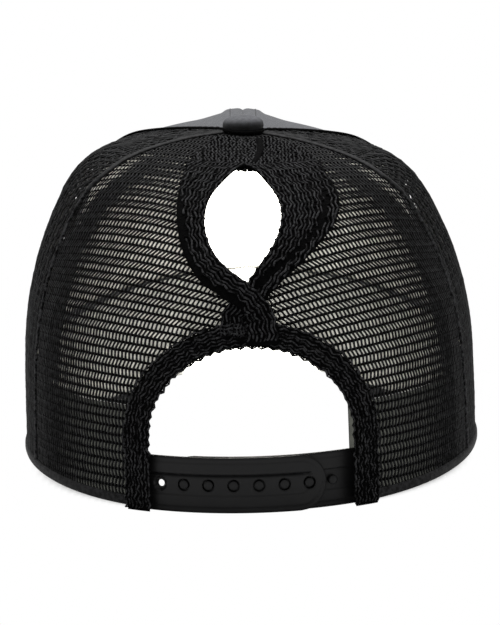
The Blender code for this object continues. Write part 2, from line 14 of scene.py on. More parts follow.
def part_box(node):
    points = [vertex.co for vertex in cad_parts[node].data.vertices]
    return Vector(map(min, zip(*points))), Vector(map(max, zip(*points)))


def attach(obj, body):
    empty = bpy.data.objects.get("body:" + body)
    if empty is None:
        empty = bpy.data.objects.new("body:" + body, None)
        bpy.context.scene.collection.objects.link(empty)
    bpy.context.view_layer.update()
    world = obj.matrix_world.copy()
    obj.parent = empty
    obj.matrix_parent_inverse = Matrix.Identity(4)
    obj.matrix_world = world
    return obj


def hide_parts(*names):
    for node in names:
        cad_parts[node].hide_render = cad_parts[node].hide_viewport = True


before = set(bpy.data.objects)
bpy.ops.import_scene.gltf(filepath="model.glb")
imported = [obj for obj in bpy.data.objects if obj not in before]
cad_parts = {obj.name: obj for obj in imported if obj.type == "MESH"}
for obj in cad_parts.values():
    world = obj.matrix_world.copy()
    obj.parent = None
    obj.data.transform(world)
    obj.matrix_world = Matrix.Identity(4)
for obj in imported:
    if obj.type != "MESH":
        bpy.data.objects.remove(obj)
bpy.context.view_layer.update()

bl_info = {
    "name": "Trucker Cap",
    "version": (1, 0, 0),
    "blender": (4, 5, 0),
    "location": "View3D > Sidebar > Trucker Cap",
    "description": "Dresses a trucker cap with net, cotton, a snap strap, a brim and a button",
    "category": "Add Mesh",
}

BUTTON_LOW, BUTTON_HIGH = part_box("button")
CROWN_CENTRE = np.array(((BUTTON_LOW.x + BUTTON_HIGH.x) / 2,
                         (BUTTON_LOW.y + BUTTON_HIGH.y) / 2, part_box("strap_left")[0].z))
SIDES = ((-1, "left"), (1, "right"))

# Crown
CROWN_HALF_WIDTH = 0.0815
CROWN_HALF_LENGTH = 0.098
CROWN_HEIGHT = 0.1185
RIM_RISE = 0.021
ROOF_RIDGE = 0.0048
ROOF_RIDGE_SPREAD = math.radians(60.0)
ROOF_LEAN = 0.045
CROWN_HEART = np.array((0.0, 0.0, 0.04))
GAP = 0.0003
SHOULDER_DIP = 0.0015
SHOULDER_START = 0.004
SHOULDER_FULL = 0.018
SHOULDER_FADE = 0.008
# Share of the button's cotton colour left at its foot: painted shade
BUTTON_PAINTED_SHADE = 0.08
FOLD_PITCH = 0.0052
FOLD_DEPTH = 0.0009
SIDE_SEAM = math.radians(70.0)
FRONT_SEAM = math.radians(119.0)

# Walls and layers
COTTON_WALL = 0.0012
NET_WALL = 0.001
LINING_WALL = 0.0012
TAPE_WALL = 0.001
TAPE_WIDTH = 0.0075
TAPE_FROM_SEAM = 0.0065
SWEATBAND_WALL = 0.0015
SWEATBAND_HEIGHT = 0.032
SWEATBAND_LIFT = 0.001
UNDER_PANEL = COTTON_WALL + GAP
LAYER = NET_WALL + GAP
ON_TOP = -GAP - NET_WALL / 2
KNIT_ON_TOP = -GAP - NET_WALL
BAND_TOP = 0.94
BAND_SINK = 0.0009
SEAM_TOP = 0.985

# Cloth
CLOTH_PITCH = 0.0022
NET_PITCH = 0.0009
SOFT_EDGE = 0.0006
THIN_EDGE = 0.0001
ROLL_SIDES = 10
CLOTH_MERGE = 2e-6
TIGHT_MERGE = 1e-6
SHARP_ANGLE = math.radians(50.0)
FAINT_JITTER = 0.00006
KNIT_JITTER = 0.0003
WIDE_STITCH = 0.0034

# Arched opening and pony-tail hole
ARCH_HALF_WIDTH = 0.0345
ARCH_SPRING = 0.025
ARCH_RISE = 0.0315
ARCH_TOP = ARCH_SPRING + ARCH_RISE
HEM_WIDTH = 0.0075
BRIDGE_HEIGHT = 0.0212
HOLE_HALF_WIDTH = 0.013
HOLE_HEIGHT = 0.0538
BAND_WIDTH = 0.011
BAND_SHIFT = 0.0097
NO_OPENING = -0.005

# Snap strap
STRAP_HEIGHT = 0.019
STRAP_WALL = 0.0015
STRAP_TAB = 0.0095
PEG_COUNT = 7
PEG_PITCH = 0.0089
PEG_RADIUS = 0.0016
PEG_RECESS = 0.0002
PEG_SIDES = 24
BEVEL_DEPTH = 0.00035
BEVEL_WIDTH = 0.0007
CHAMFER_LOW = 0.00028
CHAMFER_HIGH = 0.00012
CHAMFER_BETWEEN = (0.0016, 0.0024)
LANE_HALF = 0.0036
LANE_DEPTH = 0.0003
GROOVE_WIDTH = 0.0004
GROOVE_DEPTH = 0.0007
GROOVE_FAINT = 0.0001
COUNTERSINK = 0.0002
OPEN_COUNTERSINK = 0.0008
SNAP_DISTANCE = 0.00029
HOLE_CLEARANCE = 0.0006
OPEN_HOLE_RADIUS = 0.0012
STRAP_END_MARGIN = 0.0063
FIRST_HOLE = -0.0333
STRAP_OUTER_DEPTH = NET_WALL + GAP
STRAP_INNER_DEPTH = STRAP_OUTER_DEPTH + STRAP_WALL + GAP
SWEATBAND_END_DEPTH = STRAP_INNER_DEPTH + STRAP_WALL + GAP

# Stage
FLOOR_REACH = 12.0
FLOOR_DROP = 0.0002
SHADE_REACH = 0.16
SHADE_STEPS = 129
SHADE_FORWARD = 0.02
TARGET_HEIGHT = 0.052
FRAME_SHIFT = 2.0 / 625.0
TOP_LAMP_SIZE = (1.2, 0.9)
INNER_LAMP_SIZE = (0.05, 0.05)
HOLE_SPOT = 0.0215
ARCH_SPOT = 0.0262

# Brim and button
BRIM_LENGTH = 0.068
BRIM_HALF_WIDTH = 0.0745
BRIM_WALL = 0.0035
BRIM_RISE = 0.0145
BRIM_FULLNESS = 0.62
BUTTON_RADIUS = 0.0073
BUTTON_HEIGHT = 0.0048
BUTTON_SIDES = 64

CROWN_COLUMNS = ("along", "side_out", "side_up", "back_out", "back_up", "front_out", "front_up")
CROWN_SECTIONS = (
    (0.00, 1.000, 0.000, 1.000, 0.000, 1.000, 0.000),
    (0.14, 0.998, 0.200, 0.995, 0.190, 0.985, 0.200),
    (0.28, 0.985, 0.400, 0.980, 0.370, 0.960, 0.420),
    (0.41, 0.940, 0.570, 0.935, 0.540, 0.920, 0.610),
    (0.52, 0.865, 0.720, 0.865, 0.680, 0.860, 0.780),
    (0.62, 0.770, 0.850, 0.760, 0.795, 0.780, 0.890),
    (0.71, 0.660, 0.920, 0.635, 0.875, 0.670, 0.942),
    (0.79, 0.520, 0.950, 0.495, 0.930, 0.510, 0.972),
    (0.89, 0.270, 0.980, 0.260, 0.972, 0.270, 0.994),
    (1.00, 0.000, 1.000, 0.000, 1.000, 0.000, 1.000),
)
RIM_COLUMNS = ("degrees", "rise")
RIM_SECTIONS = ((0, 0.0), (45, 0.10), (90, 0.29), (120, 0.43), (150, 0.81), (180, 1.0))
SEAM_COLUMNS = ("along", "turn")
SEAM_SECTIONS = ((0.0, 1.0), (0.3, 0.97), (0.5, 0.94), (0.62, 0.90), (0.72, 0.87), (0.83, 0.94),
                 (0.92, 1.02), (1.0, 1.06))
HOLE_COLUMNS = ("station", "left", "right")
HOLE_SECTIONS = (
    (0.00, 0.00, 0.00), (0.10, 0.54, 0.26), (0.20, 0.84, 0.55), (0.30, 1.00, 0.77),
    (0.40, 1.06, 0.89), (0.50, 1.03, 0.92), (0.60, 0.94, 0.87), (0.70, 0.78, 0.74),
    (0.80, 0.56, 0.55), (0.90, 0.34, 0.37), (0.97, 0.17, 0.20), (1.00, 0.07, 0.08),
)
BAND_COLUMNS = ("station", "width", "tilt", "over")
BAND_LEFT = (
    (-0.99, 0.95, 0, 1.0), (-0.70, 0.90, 0, 1.0), (-0.49, 0.85, 15, 1.0), (-0.34, 0.80, 30, 1.0),
    (-0.15, 0.75, 46, 1.0), (0.00, 0.80, 50, 1.0), (0.10, 0.90, 38, 1.0), (0.20, 0.89, 30, 0.3),
    (0.30, 0.87, 20, 0.0), (0.40, 0.85, 8, 0.0), (0.50, 0.89, 0, 0.0), (0.60, 0.96, 0, 0.0),
    (0.70, 1.08, 0, 0.0), (0.80, 1.24, 0, 0.0), (0.90, 1.43, 0, 0.0), (1.00, 1.66, 0, 0.0),
    (1.15, 1.60, 0, 0.0), (1.50, 1.30, 0, 0.0), (2.00, 0.80, 0, 0.0),
)
BAND_RIGHT = (
    (-0.90, 0.87, 0, 0.0), (-0.60, 0.87, 0, 0.0), (-0.49, 0.85, 12, 0.0), (-0.34, 0.80, 30, 0.0),
    (-0.15, 0.75, 44, 0.0), (0.00, 0.72, 40, 0.0), (0.10, 0.88, 26, 0.0), (0.20, 1.12, 18, 0.0),
    (0.30, 1.40, 11, 0.0), (0.40, 1.72, 5, 0.0), (0.50, 1.82, 0, 0.0), (0.60, 1.82, 0, 0.0),
    (0.70, 1.85, 0, 0.0), (0.80, 1.92, 0, 0.0), (0.90, 2.00, 0, 0.0), (1.00, 2.25, 0, 0.0),
    (1.15, 2.15, 0, 0.0), (1.50, 1.75, 0, 0.0), (2.00, 0.80, 0, 0.0),
)
TAIL_COLUMNS = ("station", "shift")
TAIL_SECTIONS = ((-1.0, 1.0), (-0.7, 0.96), (-0.49, 0.87), (-0.34, 0.70), (-0.15, 0.36), (0.0, 0.0))
BRIM_COLUMNS = ("across", "rise")
BRIM_SECTIONS = ((0.0, 1.0), (0.35, 0.80), (0.6, 0.36), (0.75, 0.07), (0.83, 0.0), (0.91, 0.04),
                 (1.0, 0.24))

# Radius and height up the button, and radius and rise up a peg
BUTTON_SECTIONS = ((0.60, 0.0), (0.93, 0.02), (1.0, 0.16), (1.0, 0.40), (0.93, 0.66), (0.72, 0.88),
                   (0.38, 0.98), (0.0, 1.0))
PEG_SECTIONS = ((1.0, -0.5), (1.0, 0.75), (0.96, 0.88), (0.86, 0.96), (0.6, 1.01), (0.3, 1.04))

# The seam of the front panels turns forwards near the top: degrees from the back, up the crown
FRONT_COLUMNS = ("along", "turn")
FRONT_SECTIONS = ((0.0, 119.0), (0.4, 119.0), (0.6, 123.0), (0.75, 127.5), (0.9, 128.5),
                  (1.0, 133.0))

# Line of each net panel that its rows cross squarely: degrees from the back, up the crown
GRAIN_COLUMNS = ("along", "back", "side")
GRAIN_SECTIONS = ((0.0, 60.0, 96.0), (0.35, 58.0, 96.0), (0.55, 48.0, 95.0), (0.75, 38.0, 94.0),
                  (1.0, 36.0, 94.0))


# Curves and the crown's surface

def column(rows, columns, name):
    """The values of one named column of a table."""
    return np.array([row[columns.index(name)] for row in rows], float)


def smooth(xs, ys, x):
    """Values at x of a smooth curve through the points (xs, ys), with xs growing."""
    x = np.clip(np.asarray(x, float), xs[0], xs[-1])
    last = len(xs) - 1
    low = np.maximum(np.arange(last + 1) - 1, 0)
    high = np.minimum(np.arange(last + 1) + 1, last)
    slopes = (ys[high] - ys[low]) / (xs[high] - xs[low])
    i = np.clip(np.searchsorted(xs, x, side="left") - 1, 0, last - 1)
    h = xs[i + 1] - xs[i]
    u = (x - xs[i]) / h
    return ((2 * u ** 3 - 3 * u ** 2 + 1) * ys[i] + (u ** 3 - 2 * u ** 2 + u) * h * slopes[i]
            + (3 * u ** 2 - 2 * u ** 3) * ys[i + 1] + (u ** 3 - u ** 2) * h * slopes[i + 1])


def from_table(rows, columns, name, x):
    """Values of a table's named column where its first column is x."""
    return smooth(column(rows, columns, columns[0]), column(rows, columns, name), x)


FINE = np.linspace(0.0, 1.0, 3001)
SECTION_LOOKUP = {name: from_table(CROWN_SECTIONS, CROWN_COLUMNS, name, FINE)
                  for name in CROWN_COLUMNS[1:]}
SEAM_LOOKUP = SIDE_SEAM * from_table(SEAM_SECTIONS, SEAM_COLUMNS, "turn", FINE)
FRONT_LOOKUP = np.radians(from_table(FRONT_SECTIONS, FRONT_COLUMNS, "turn", FINE))


def rim_height(angle):
    """Height of the crown's rim, which rises towards the front."""
    degrees = np.abs(np.degrees(np.arctan2(np.sin(angle), np.cos(angle))))
    return RIM_RISE * from_table(RIM_SECTIONS, RIM_COLUMNS, "rise", degrees)


def blended(kind, angle, along):
    """Share of a crown section between the side, back and front profiles."""
    side = np.sin(angle) ** 2
    back = np.interp(along, FINE, SECTION_LOOKUP["back_" + kind])
    front = np.interp(along, FINE, SECTION_LOOKUP["front_" + kind])
    end = np.where(np.cos(angle) > 0, back, front)
    return side * np.interp(along, FINE, SECTION_LOOKUP["side_" + kind]) + (1 - side) * end


def spread(*values):
    """Values as arrays of one common shape."""
    return np.broadcast_arrays(*(np.asarray(value, float) for value in values))


def crown_point(angle, along):
    """Outer face of the crown."""
    angle, along = spread(angle, along)
    out = blended("out", angle, along)
    up = blended("up", angle, along)
    x = CROWN_HALF_WIDTH * np.sin(angle) * out
    y = -CROWN_HALF_LENGTH * np.cos(angle) * out
    foot = rim_height(angle)
    from_front = np.abs(np.arctan2(np.sin(angle), -np.cos(angle)))
    ridge = np.maximum(0.0, 1.0 - from_front / ROOF_RIDGE_SPREAD)
    ridge = ridge * np.sin(math.pi * np.clip((along - 0.45) / 0.55, 0.0, 1.0)) ** 2
    z = foot + (CROWN_HEIGHT - foot) * up + ROOF_RIDGE * ridge - ROOF_LEAN * x * up ** 2
    return np.stack((x, y, z), -1)


def unit(vectors):
    """The vectors at length 1."""
    return vectors / np.maximum(np.linalg.norm(vectors, axis=-1, keepdims=True), 1e-12)


def distances(points, axis=0):
    """Distance walked along a line of points, or along one axis of a grid of points."""
    steps = np.linalg.norm(np.diff(points, axis=axis), axis=-1)
    start = np.zeros_like(np.take(steps, [0], axis=axis))
    return np.concatenate((start, np.cumsum(steps, axis=axis)), axis=axis)


def crown_normal(angle, along):
    """Outward direction of the crown."""
    step = 0.003
    round_way = crown_point(angle + step, along) - crown_point(angle - step, along)
    up_way = (crown_point(angle, np.minimum(along + step, 1.0))
              - crown_point(angle, np.maximum(along - step, 0.0)))
    return unit(np.cross(round_way, up_way))


def crown_layer(angle, along, depth):
    """A point at a depth below the crown's outer face."""
    depth = np.asarray(depth, float)[..., None]
    return crown_point(angle, along) - crown_normal(angle, along) * depth


def along_at_height(angle, height):
    angle, height = spread(angle, height)
    low = np.zeros(angle.shape)
    high = np.full(angle.shape, 0.9)
    for _ in range(24):
        middle = (low + high) / 2
        under = crown_point(angle, middle)[..., 2] < height
        low = np.where(under, middle, low)
        high = np.where(under, high, middle)
    return (low + high) / 2


def angle_at_x(x, along):
    """Angle near the back at which the crown is x from the centre plane."""
    angle = np.zeros(np.broadcast(x, along).shape)
    for _ in range(12):
        share = x / (CROWN_HALF_WIDTH * blended("out", angle, along))
        angle = np.arcsin(np.clip(share, -0.999, 0.999))
    return angle


def angle_width(width, angle, along):
    """Turn that covers a width on the crown."""
    point = crown_point(angle, along)
    return width / np.maximum(np.hypot(point[..., 0], point[..., 1]), np.abs(width))


def side_seam(along):
    return np.interp(along, FINE, SEAM_LOOKUP)


def front_seam(along):
    return np.interp(along, FINE, FRONT_LOOKUP)


def step_up(x, low, high):
    """Smooth rise from 0 at low to 1 at high."""
    share = np.clip((x - low) / (high - low), 0.0, 1.0)
    return share * share * (3 - 2 * share)


BACK_LENGTH = distances(crown_point(np.zeros(FINE.shape), FINE))
ARCH_TOP_ALONG = float(along_at_height(0.0, ARCH_TOP))
STRAP_TOP_ALONG = float(along_at_height(0.0, STRAP_HEIGHT))


def climb(start, distance):
    """Place reached by moving up the back centre line from a place along it."""
    return np.interp(np.interp(start, FINE, BACK_LENGTH) + distance, BACK_LENGTH, FINE)


HOLE_FOOT = float(climb(ARCH_TOP_ALONG, BRIDGE_HEIGHT))
HOLE_HEAD = float(climb(HOLE_FOOT, HOLE_HEIGHT))


def station_along(station):
    """Place along the crown of a station on the bands."""
    low = climb(HOLE_FOOT, BRIDGE_HEIGHT * station)
    middle = climb(HOLE_FOOT, HOLE_HEIGHT * station)
    high = HOLE_HEAD + (BAND_TOP - HOLE_HEAD) * (station - 1.0)
    return np.where(station < 0.0, low, np.where(station <= 1.0, middle, high))


def hole_edge(side, station):
    """Distance of the hole's edge from the centre plane."""
    name = "left" if side < 0 else "right"
    share = from_table(HOLE_SECTIONS, HOLE_COLUMNS, name, station)
    return np.maximum(HOLE_HALF_WIDTH * share, GAP / 2)


def band_inner(side, station):
    shift = from_table(TAIL_SECTIONS, TAIL_COLUMNS, "shift", station)
    middle = side * hole_edge(side, station)
    return np.where(station > 1.0, side * GAP / 2,
                    np.where(station >= 0.0, middle, -side * BAND_SHIFT * shift))


def band_sink(station):
    """How far the bands sink above the hole, on their way to the button."""
    return BAND_SINK * step_up(station, 1.0, 1.7)


def band_point(side, table, station, share, depth):
    """A point of a pony-tail band at a station, a share of the way across, below the crown."""
    station, share = spread(station, share)
    x = band_inner(side, station)
    along = station_along(station)
    tilt = np.radians(from_table(table, BAND_COLUMNS, "tilt", station))
    reach = BAND_WIDTH * from_table(table, BAND_COLUMNS, "width", station)
    over = np.clip(from_table(table, BAND_COLUMNS, "over", station), 0.0, 1.0)
    far_x = x + side * reach * np.cos(tilt)
    far_along = climb(along, -reach * np.sin(tilt))
    px = x + (far_x - x) * share
    pt = along + (far_along - along) * share
    return crown_layer(angle_at_x(px, pt), pt, depth - LAYER * over)


HEM_ARC = 0.25 * math.pi * (3 * (ARCH_HALF_WIDTH + ARCH_RISE)
                            - math.sqrt((3 * ARCH_HALF_WIDTH + ARCH_RISE)
                                        * (ARCH_HALF_WIDTH + 3 * ARCH_RISE)))
HEM_HALF = ARCH_SPRING + HEM_ARC


def hem_point(across, run, depth):
    """A point of the arch hem: a distance from its inner edge, a share of the way round it."""
    across, run = spread(across, run)
    walked = run * 2 * HEM_HALF
    side = np.where(walked < HEM_HALF, -1.0, 1.0)
    walked = np.where(walked < HEM_HALF, walked, 2 * HEM_HALF - walked)
    turn = np.clip((walked - ARCH_SPRING) / HEM_ARC, 0.0, 1.0) * math.pi / 2
    x = side * (ARCH_HALF_WIDTH + across) * np.cos(turn)
    z = np.where(walked < ARCH_SPRING, walked, ARCH_SPRING + (ARCH_RISE + across) * np.sin(turn))
    angle = angle_at_x(x, ARCH_TOP_ALONG * np.minimum(1.0, z / ARCH_TOP))
    along = along_at_height(angle, z)
    angle = angle_at_x(x, along)
    point = crown_layer(angle, along, depth)
    foot = z < rim_height(angle)
    point[..., 2] = np.where(foot, np.minimum(point[..., 2], z), point[..., 2])
    return point


# Meshes

def link_object(name, data):
    item = bpy.data.objects.new(name, data)
    bpy.context.scene.collection.objects.link(item)
    return item


def stops(length, pitch, edge):
    """Shares of a length, about a pitch apart, with extra ones near both ends for a round edge."""
    count = max(int(round((length - 2 * edge) / pitch)), 1)
    inner = np.linspace(edge, length - edge, count + 1)
    near = edge * np.array((0.0, 0.07, 0.28, 0.6))
    return np.concatenate((near, inner, length - near[::-1])) / length


def grid_normals(points, ring=False):
    if ring:
        wide = np.concatenate((points[:, -2:-1], points, points[:, 1:2]), axis=1)
        across = (wide[:, 2:] - wide[:, :-2])
    else:
        across = np.gradient(points, axis=1)
    normals = unit(np.cross(across, np.gradient(points, axis=0)))
    outwards = np.einsum("ijk,ijk->ij", normals, points - CROWN_HEART)
    return normals if np.mean(outwards) > 0 else -normals


def round_off(points, edge, ring=False):
    """Share of the wall's thickness left at each point of a grid, falling to 0 at its edges."""
    share = np.ones(points.shape[:2])
    axes = (0,) if ring else (0, 1)
    for axis in axes:
        walked = distances(points, axis)
        total = np.take(walked, [-1], axis=axis)
        near = np.minimum(walked, total - walked)
        bent = 1.0 - np.clip(near / edge, 0.0, 1.0)
        share = share * np.sqrt(np.maximum(1.0 - bent ** 2, 0.0))
    return share


def circle(sides):
    return np.linspace(0.0, 2 * math.pi, sides, endpoint=False)


def grid_quads(rows, columns, ring=False):
    """Corner numbers of the squares of a grid of points; a ring closes on its first column."""
    i, j = np.meshgrid(np.arange(rows - 1), np.arange(columns if ring else columns - 1), indexing="ij")
    k = (j + 1) % columns
    quads = (i * columns + j, i * columns + k, (i + 1) * columns + k, (i + 1) * columns + j)
    return np.stack(quads, -1).reshape(-1, 4)


def faces_inwards(quads, points, outwards):
    """Whether the squares face against the outward directions at their first corners."""
    a, b, d = (points[quads[:, k]] for k in (0, 1, 3))
    return np.mean(np.sum(np.cross(b - a, d - a) * outwards[quads[:, 0]], 1)) < 0


def tube_faces(rings, middles):
    """Faces of a tube closed at both ends, from its rings of points and their middles."""
    rows, sides = rings.shape[:2]
    points = rings.reshape(-1, 3)
    quads = grid_quads(rows, sides, True)
    way = -1
    if faces_inwards(quads, points, points - np.repeat(middles, sides, 0)):
        quads = quads[:, ::-1]
        way = 1
    first = list(range(sides))[::way]
    last = list(range((rows - 1) * sides, rows * sides))[::-way]
    return quads.tolist() + [first, last]


def merge_doubles(mesh, distance):
    work = bmesh.new()
    work.from_mesh(mesh)
    bmesh.ops.remove_doubles(work, verts=work.verts[:], dist=distance)
    work.to_mesh(mesh)
    work.free()


def mesh_piece(name, points, faces, materials, spots=None, index=None, merged=0.0, sharp=False):
    """A smooth piece from points about the crown's centre; spots are its UV map in metres."""
    mesh = bpy.data.meshes.new(name)
    mesh.from_pydata((points.reshape(-1, 3) + CROWN_CENTRE).tolist(), [], faces)
    for material in materials:
        mesh.materials.append(material)
    if spots is not None:
        corners = np.zeros(len(mesh.loops), np.int32)
        mesh.loops.foreach_get("vertex_index", corners)
        layer = mesh.uv_layers.new(name="cloth")
        layer.data.foreach_set("uv", spots[corners].astype(np.float32).ravel())
    if index is not None:
        mesh.polygons.foreach_set("material_index", index.astype(np.int32))
    if merged:
        merge_doubles(mesh, merged)
    mesh.shade_smooth()
    if sharp:
        mesh.set_sharp_from_angle(angle=SHARP_ANGLE)
    return link_object(name, mesh)


def cloth_wall(name, middle, wall, edge, *materials, ring=False, normals=None):
    """A closed wall with round edges about a grid of points; a second material goes inside."""
    rows, columns = middle.shape[:2]
    normals = grid_normals(middle, ring) if normals is None else normals
    half = round_off(middle, edge, ring)[..., None] * wall / 2
    outer = (middle + normals * half).reshape(-1, 3)
    inner = (middle - normals * half).reshape(-1, 3)
    quads = grid_quads(rows, columns)
    if faces_inwards(quads, outer, normals.reshape(-1, 3)):
        quads = quads[:, ::-1]
    faces = np.concatenate((quads, quads[:, ::-1] + rows * columns))
    u = np.mean(distances(middle, 1), axis=0)[None, :].repeat(rows, 0).ravel()
    v = np.mean(distances(middle, 0), axis=1)[:, None].repeat(columns, 1).ravel()
    spots = np.tile(np.stack((u, v), 1), (2, 1))
    index = np.arange(len(faces)) >= len(quads) if len(materials) > 1 else None
    return mesh_piece(name, np.concatenate((outer, inner)), faces.tolist(), materials, spots,
                      index, CLOTH_MERGE)


def add_roll(name, line, half_width, half_height, material, normals=None):
    """A closed round fold of net cloth on a line of points."""
    normals = unit(line - CROWN_HEART) if normals is None else normals
    across = unit(np.cross(normals, unit(np.gradient(line, axis=0))))
    turns = circle(ROLL_SIDES)
    swell = np.ones(len(line))
    swell[[0, -1]] = 0.02
    swell[[1, -2]] = 0.75
    width = (half_width * swell)[:, None]
    height = (half_height * swell)[:, None]
    rings = (line[:, None] + across[:, None] * (width * np.cos(turns))[..., None]
             + normals[:, None] * (height * np.sin(turns))[..., None])
    walked = distances(line)
    spots = np.stack((np.repeat(walked, ROLL_SIDES), (turns * width).ravel()), 1)
    roll = mesh_piece(name, rings, tube_faces(rings, line), (material,), spots)
    present(roll)


def join_pieces(name, items):
    """Join plain mesh objects into the first one, under a new name."""
    with bpy.context.temp_override(active_object=items[0], selected_editable_objects=items,
                                   object=items[0], selected_objects=items):
        bpy.ops.object.join()
    items[0].name = name
    items[0].data.name = name
    return items[0]


def present(item, nodes=()):
    """Hand a finished piece to the frame: what it rides on and the parts it replaces."""
    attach(item, "root")
    if nodes:
        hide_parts(*nodes)


# Node helpers

def add_node(tree, kind, **values):
    """A node with its properties and unlinked sockets set by name; spaces are underscores."""
    node = tree.nodes.new(kind)
    for key, value in values.items():
        if key in node.bl_rna.properties:
            setattr(node, key, value)
        else:
            node.inputs[key.replace("_", " ")].default_value = value
    return node


def join(tree, source, output, target, socket):
    tree.links.new(source.outputs[output], target.inputs[socket])


def after(tree, source, kind, **values):
    """A node whose first input takes another node's first output."""
    node = add_node(tree, kind, **values)
    join(tree, source, 0, node, 0)
    return node


def new_material(name, colour, roughness, **values):
    """A principled material; uniform values go on the shader's own sockets."""
    material = bpy.data.materials.new(name)
    material.use_nodes = True
    tree = material.node_tree
    shader = tree.nodes["Principled BSDF"]
    shader.inputs["Base Color"].default_value = (*colour, 1.0)
    shader.inputs["Roughness"].default_value = roughness
    for key, value in values.items():
        shader.inputs[key.replace("_", " ")].default_value = value
    material.diffuse_color = (*colour, 1.0)
    return material, tree, shader


def object_noise(tree, scale, **values):
    """A noise on the piece's own coordinates."""
    noise = add_node(tree, "ShaderNodeTexNoise", Scale=scale, Detail=4.0, **values)
    join(tree, add_node(tree, "ShaderNodeTexCoord"), "Object", noise, "Vector")
    return noise


def mottle(tree, shader, colour, scale, low, high, spread_out=0.2):
    """Vary the base colour between two shares of itself by a noise."""
    ramp = add_node(tree, "ShaderNodeValToRGB")
    for element, share, way in zip(ramp.color_ramp.elements, (low, high), (-1, 1)):
        element.position = 0.5 + way * spread_out
        element.color = (*(c * share for c in colour), 1.0)
    join(tree, object_noise(tree, scale, Roughness=0.6), "Fac", ramp, "Fac")
    join(tree, ramp, "Color", shader, "Base Color")


def add_bump(tree, shader, height, output, strength, depth):
    bump = add_node(tree, "ShaderNodeBump", Strength=strength, Distance=depth)
    join(tree, height, output, bump, "Height")
    join(tree, bump, "Normal", shader, "Normal")


def weave_bump(tree, shader, pitch, strength, depth, slant=0.0):
    """Over-and-under threads on the piece's UV map, as bump."""
    turned = add_node(tree, "ShaderNodeMapping", Rotation=(0.0, 0.0, slant))
    join(tree, add_node(tree, "ShaderNodeUVMap", uv_map="cloth"), "UV", turned, "Vector")
    both = add_node(tree, "ShaderNodeMath", operation="MULTIPLY")
    for place, way in enumerate("XY"):
        thread = add_node(tree, "ShaderNodeTexWave", Scale=math.pi / (10 * pitch), Distortion=0.6,
                          Detail=1.0, bands_direction=way, wave_profile="SIN")
        join(tree, turned, "Vector", thread, "Vector")
        join(tree, thread, "Fac", both, place)
    fuzz = add_node(tree, "ShaderNodeTexNoise", Scale=1.6 / pitch, Detail=3.0)
    join(tree, turned, "Vector", fuzz, "Vector")
    total = add_node(tree, "ShaderNodeMath", operation="ADD")
    join(tree, both, 0, total, 0)
    join(tree, fuzz, "Fac", total, 1)
    add_bump(tree, shader, total, 0, strength, depth)


def finish(name, colour, roughness, mottled, weave=(), grain=(), **values):
    """A principled material with a mottled colour, and a weave or a grain as bump."""
    material, tree, shader = new_material(name, colour, roughness, **values)
    mottle(tree, shader, colour, *mottled)
    if weave:
        weave_bump(tree, shader, *weave)
    if grain:
        scale, strength, depth = grain
        add_bump(tree, shader, object_noise(tree, scale), "Fac", strength, depth)
    return material


def once(make):
    """Keep the material that a function makes, so that pieces share it."""
    made = {}

    def kept(context):
        if make.__name__ not in made:
            made[make.__name__] = make(context.scene.trucker_cap)
        return made[make.__name__]

    return kept


COTTON_ROUGHNESS = 0.88
COTTON_MOTTLE = (800.0, 0.72, 1.28)
COTTON_WEAVE = (0.0005, 0.5, 0.0002, math.radians(45.0))


@once
def cotton_material(cap):
    return finish("charcoal_cotton", cap.cotton_colour, COTTON_ROUGHNESS, COTTON_MOTTLE,
                  COTTON_WEAVE, Sheen_Weight=0.25, Sheen_Roughness=0.5)


@once
def button_material(cap):
    """The button's cotton, darker where it turns in towards its foot: painted shade, graded by height."""
    material = finish("button_cotton_painted_shade", cap.cotton_colour, COTTON_ROUGHNESS, COTTON_MOTTLE,
                      COTTON_WEAVE, Sheen_Weight=0.06, Sheen_Roughness=0.5)
    tree = material.node_tree
    colour = tree.nodes["Principled BSDF"].inputs["Base Color"]
    apart = add_node(tree, "ShaderNodeSeparateXYZ")
    join(tree, add_node(tree, "ShaderNodeTexCoord"), "Object", apart, "Vector")
    rise = add_node(tree, "ShaderNodeMapRange", interpolation_type="SMOOTHSTEP",
                    From_Min=BUTTON_LOW.z + 0.25 * BUTTON_HEIGHT,
                    From_Max=BUTTON_LOW.z + 0.95 * BUTTON_HEIGHT, To_Min=BUTTON_PAINTED_SHADE)
    join(tree, apart, "Z", rise, "Value")
    shade = add_node(tree, "ShaderNodeVectorMath", operation="SCALE")
    tree.links.new(colour.links[0].from_socket, shade.inputs["Vector"])
    join(tree, rise, "Result", shade, "Scale")
    tree.links.new(shade.outputs["Vector"], colour)
    return material


# The yarn's wide mottle is partly its random tone and partly painted sheen: bright flecks painted into its
# colour.
@once
def net_material(cap):
    return finish("net_yarn", cap.net_colour, 0.55, (600.0, 0.2, 2.6, 0.1),
                  grain=(5200.0, 0.5, 0.00015), Sheen_Weight=0.06, Sheen_Roughness=0.4,
                  Specular_IOR_Level=0.16)


# The dense yarn's very wide mottle is partly its random tone and partly painted sheen: bright flecks
# painted into its colour.
@once
def dense_material(cap):
    return finish("dense_yarn", cap.net_colour, 0.6, (760.0, 0.02, 5.2, 0.09),
                  grain=(5200.0, 0.6, 0.0002), Specular_IOR_Level=0.08)


# Near-black cloth of folded net, tapes and seams; on the net's bars, the bands' bare strips and the
# button's foot it is also painted shade.
@once
def backing_and_painted_shade_material(cap):
    return finish("net_backing_and_painted_shade", tuple(c * 0.2 for c in cap.net_colour), 0.9, (900.0, 0.3, 1.6),
                  grain=(1800.0, 0.8, 0.0006), Specular_IOR_Level=0.05)


@once
def lining_material(cap):
    return finish("lining_cloth", cap.lining_colour, 0.9, (60.0, 0.9, 1.04),
                  weave=(0.0006, 0.4, 0.0002))


@once
def sweat_outer_material(cap):
    return finish("sweatband_outside", (0.014, 0.0148, 0.011), 0.9, (300.0, 0.7, 1.3),
                  weave=(0.0007, 0.5, 0.0002))


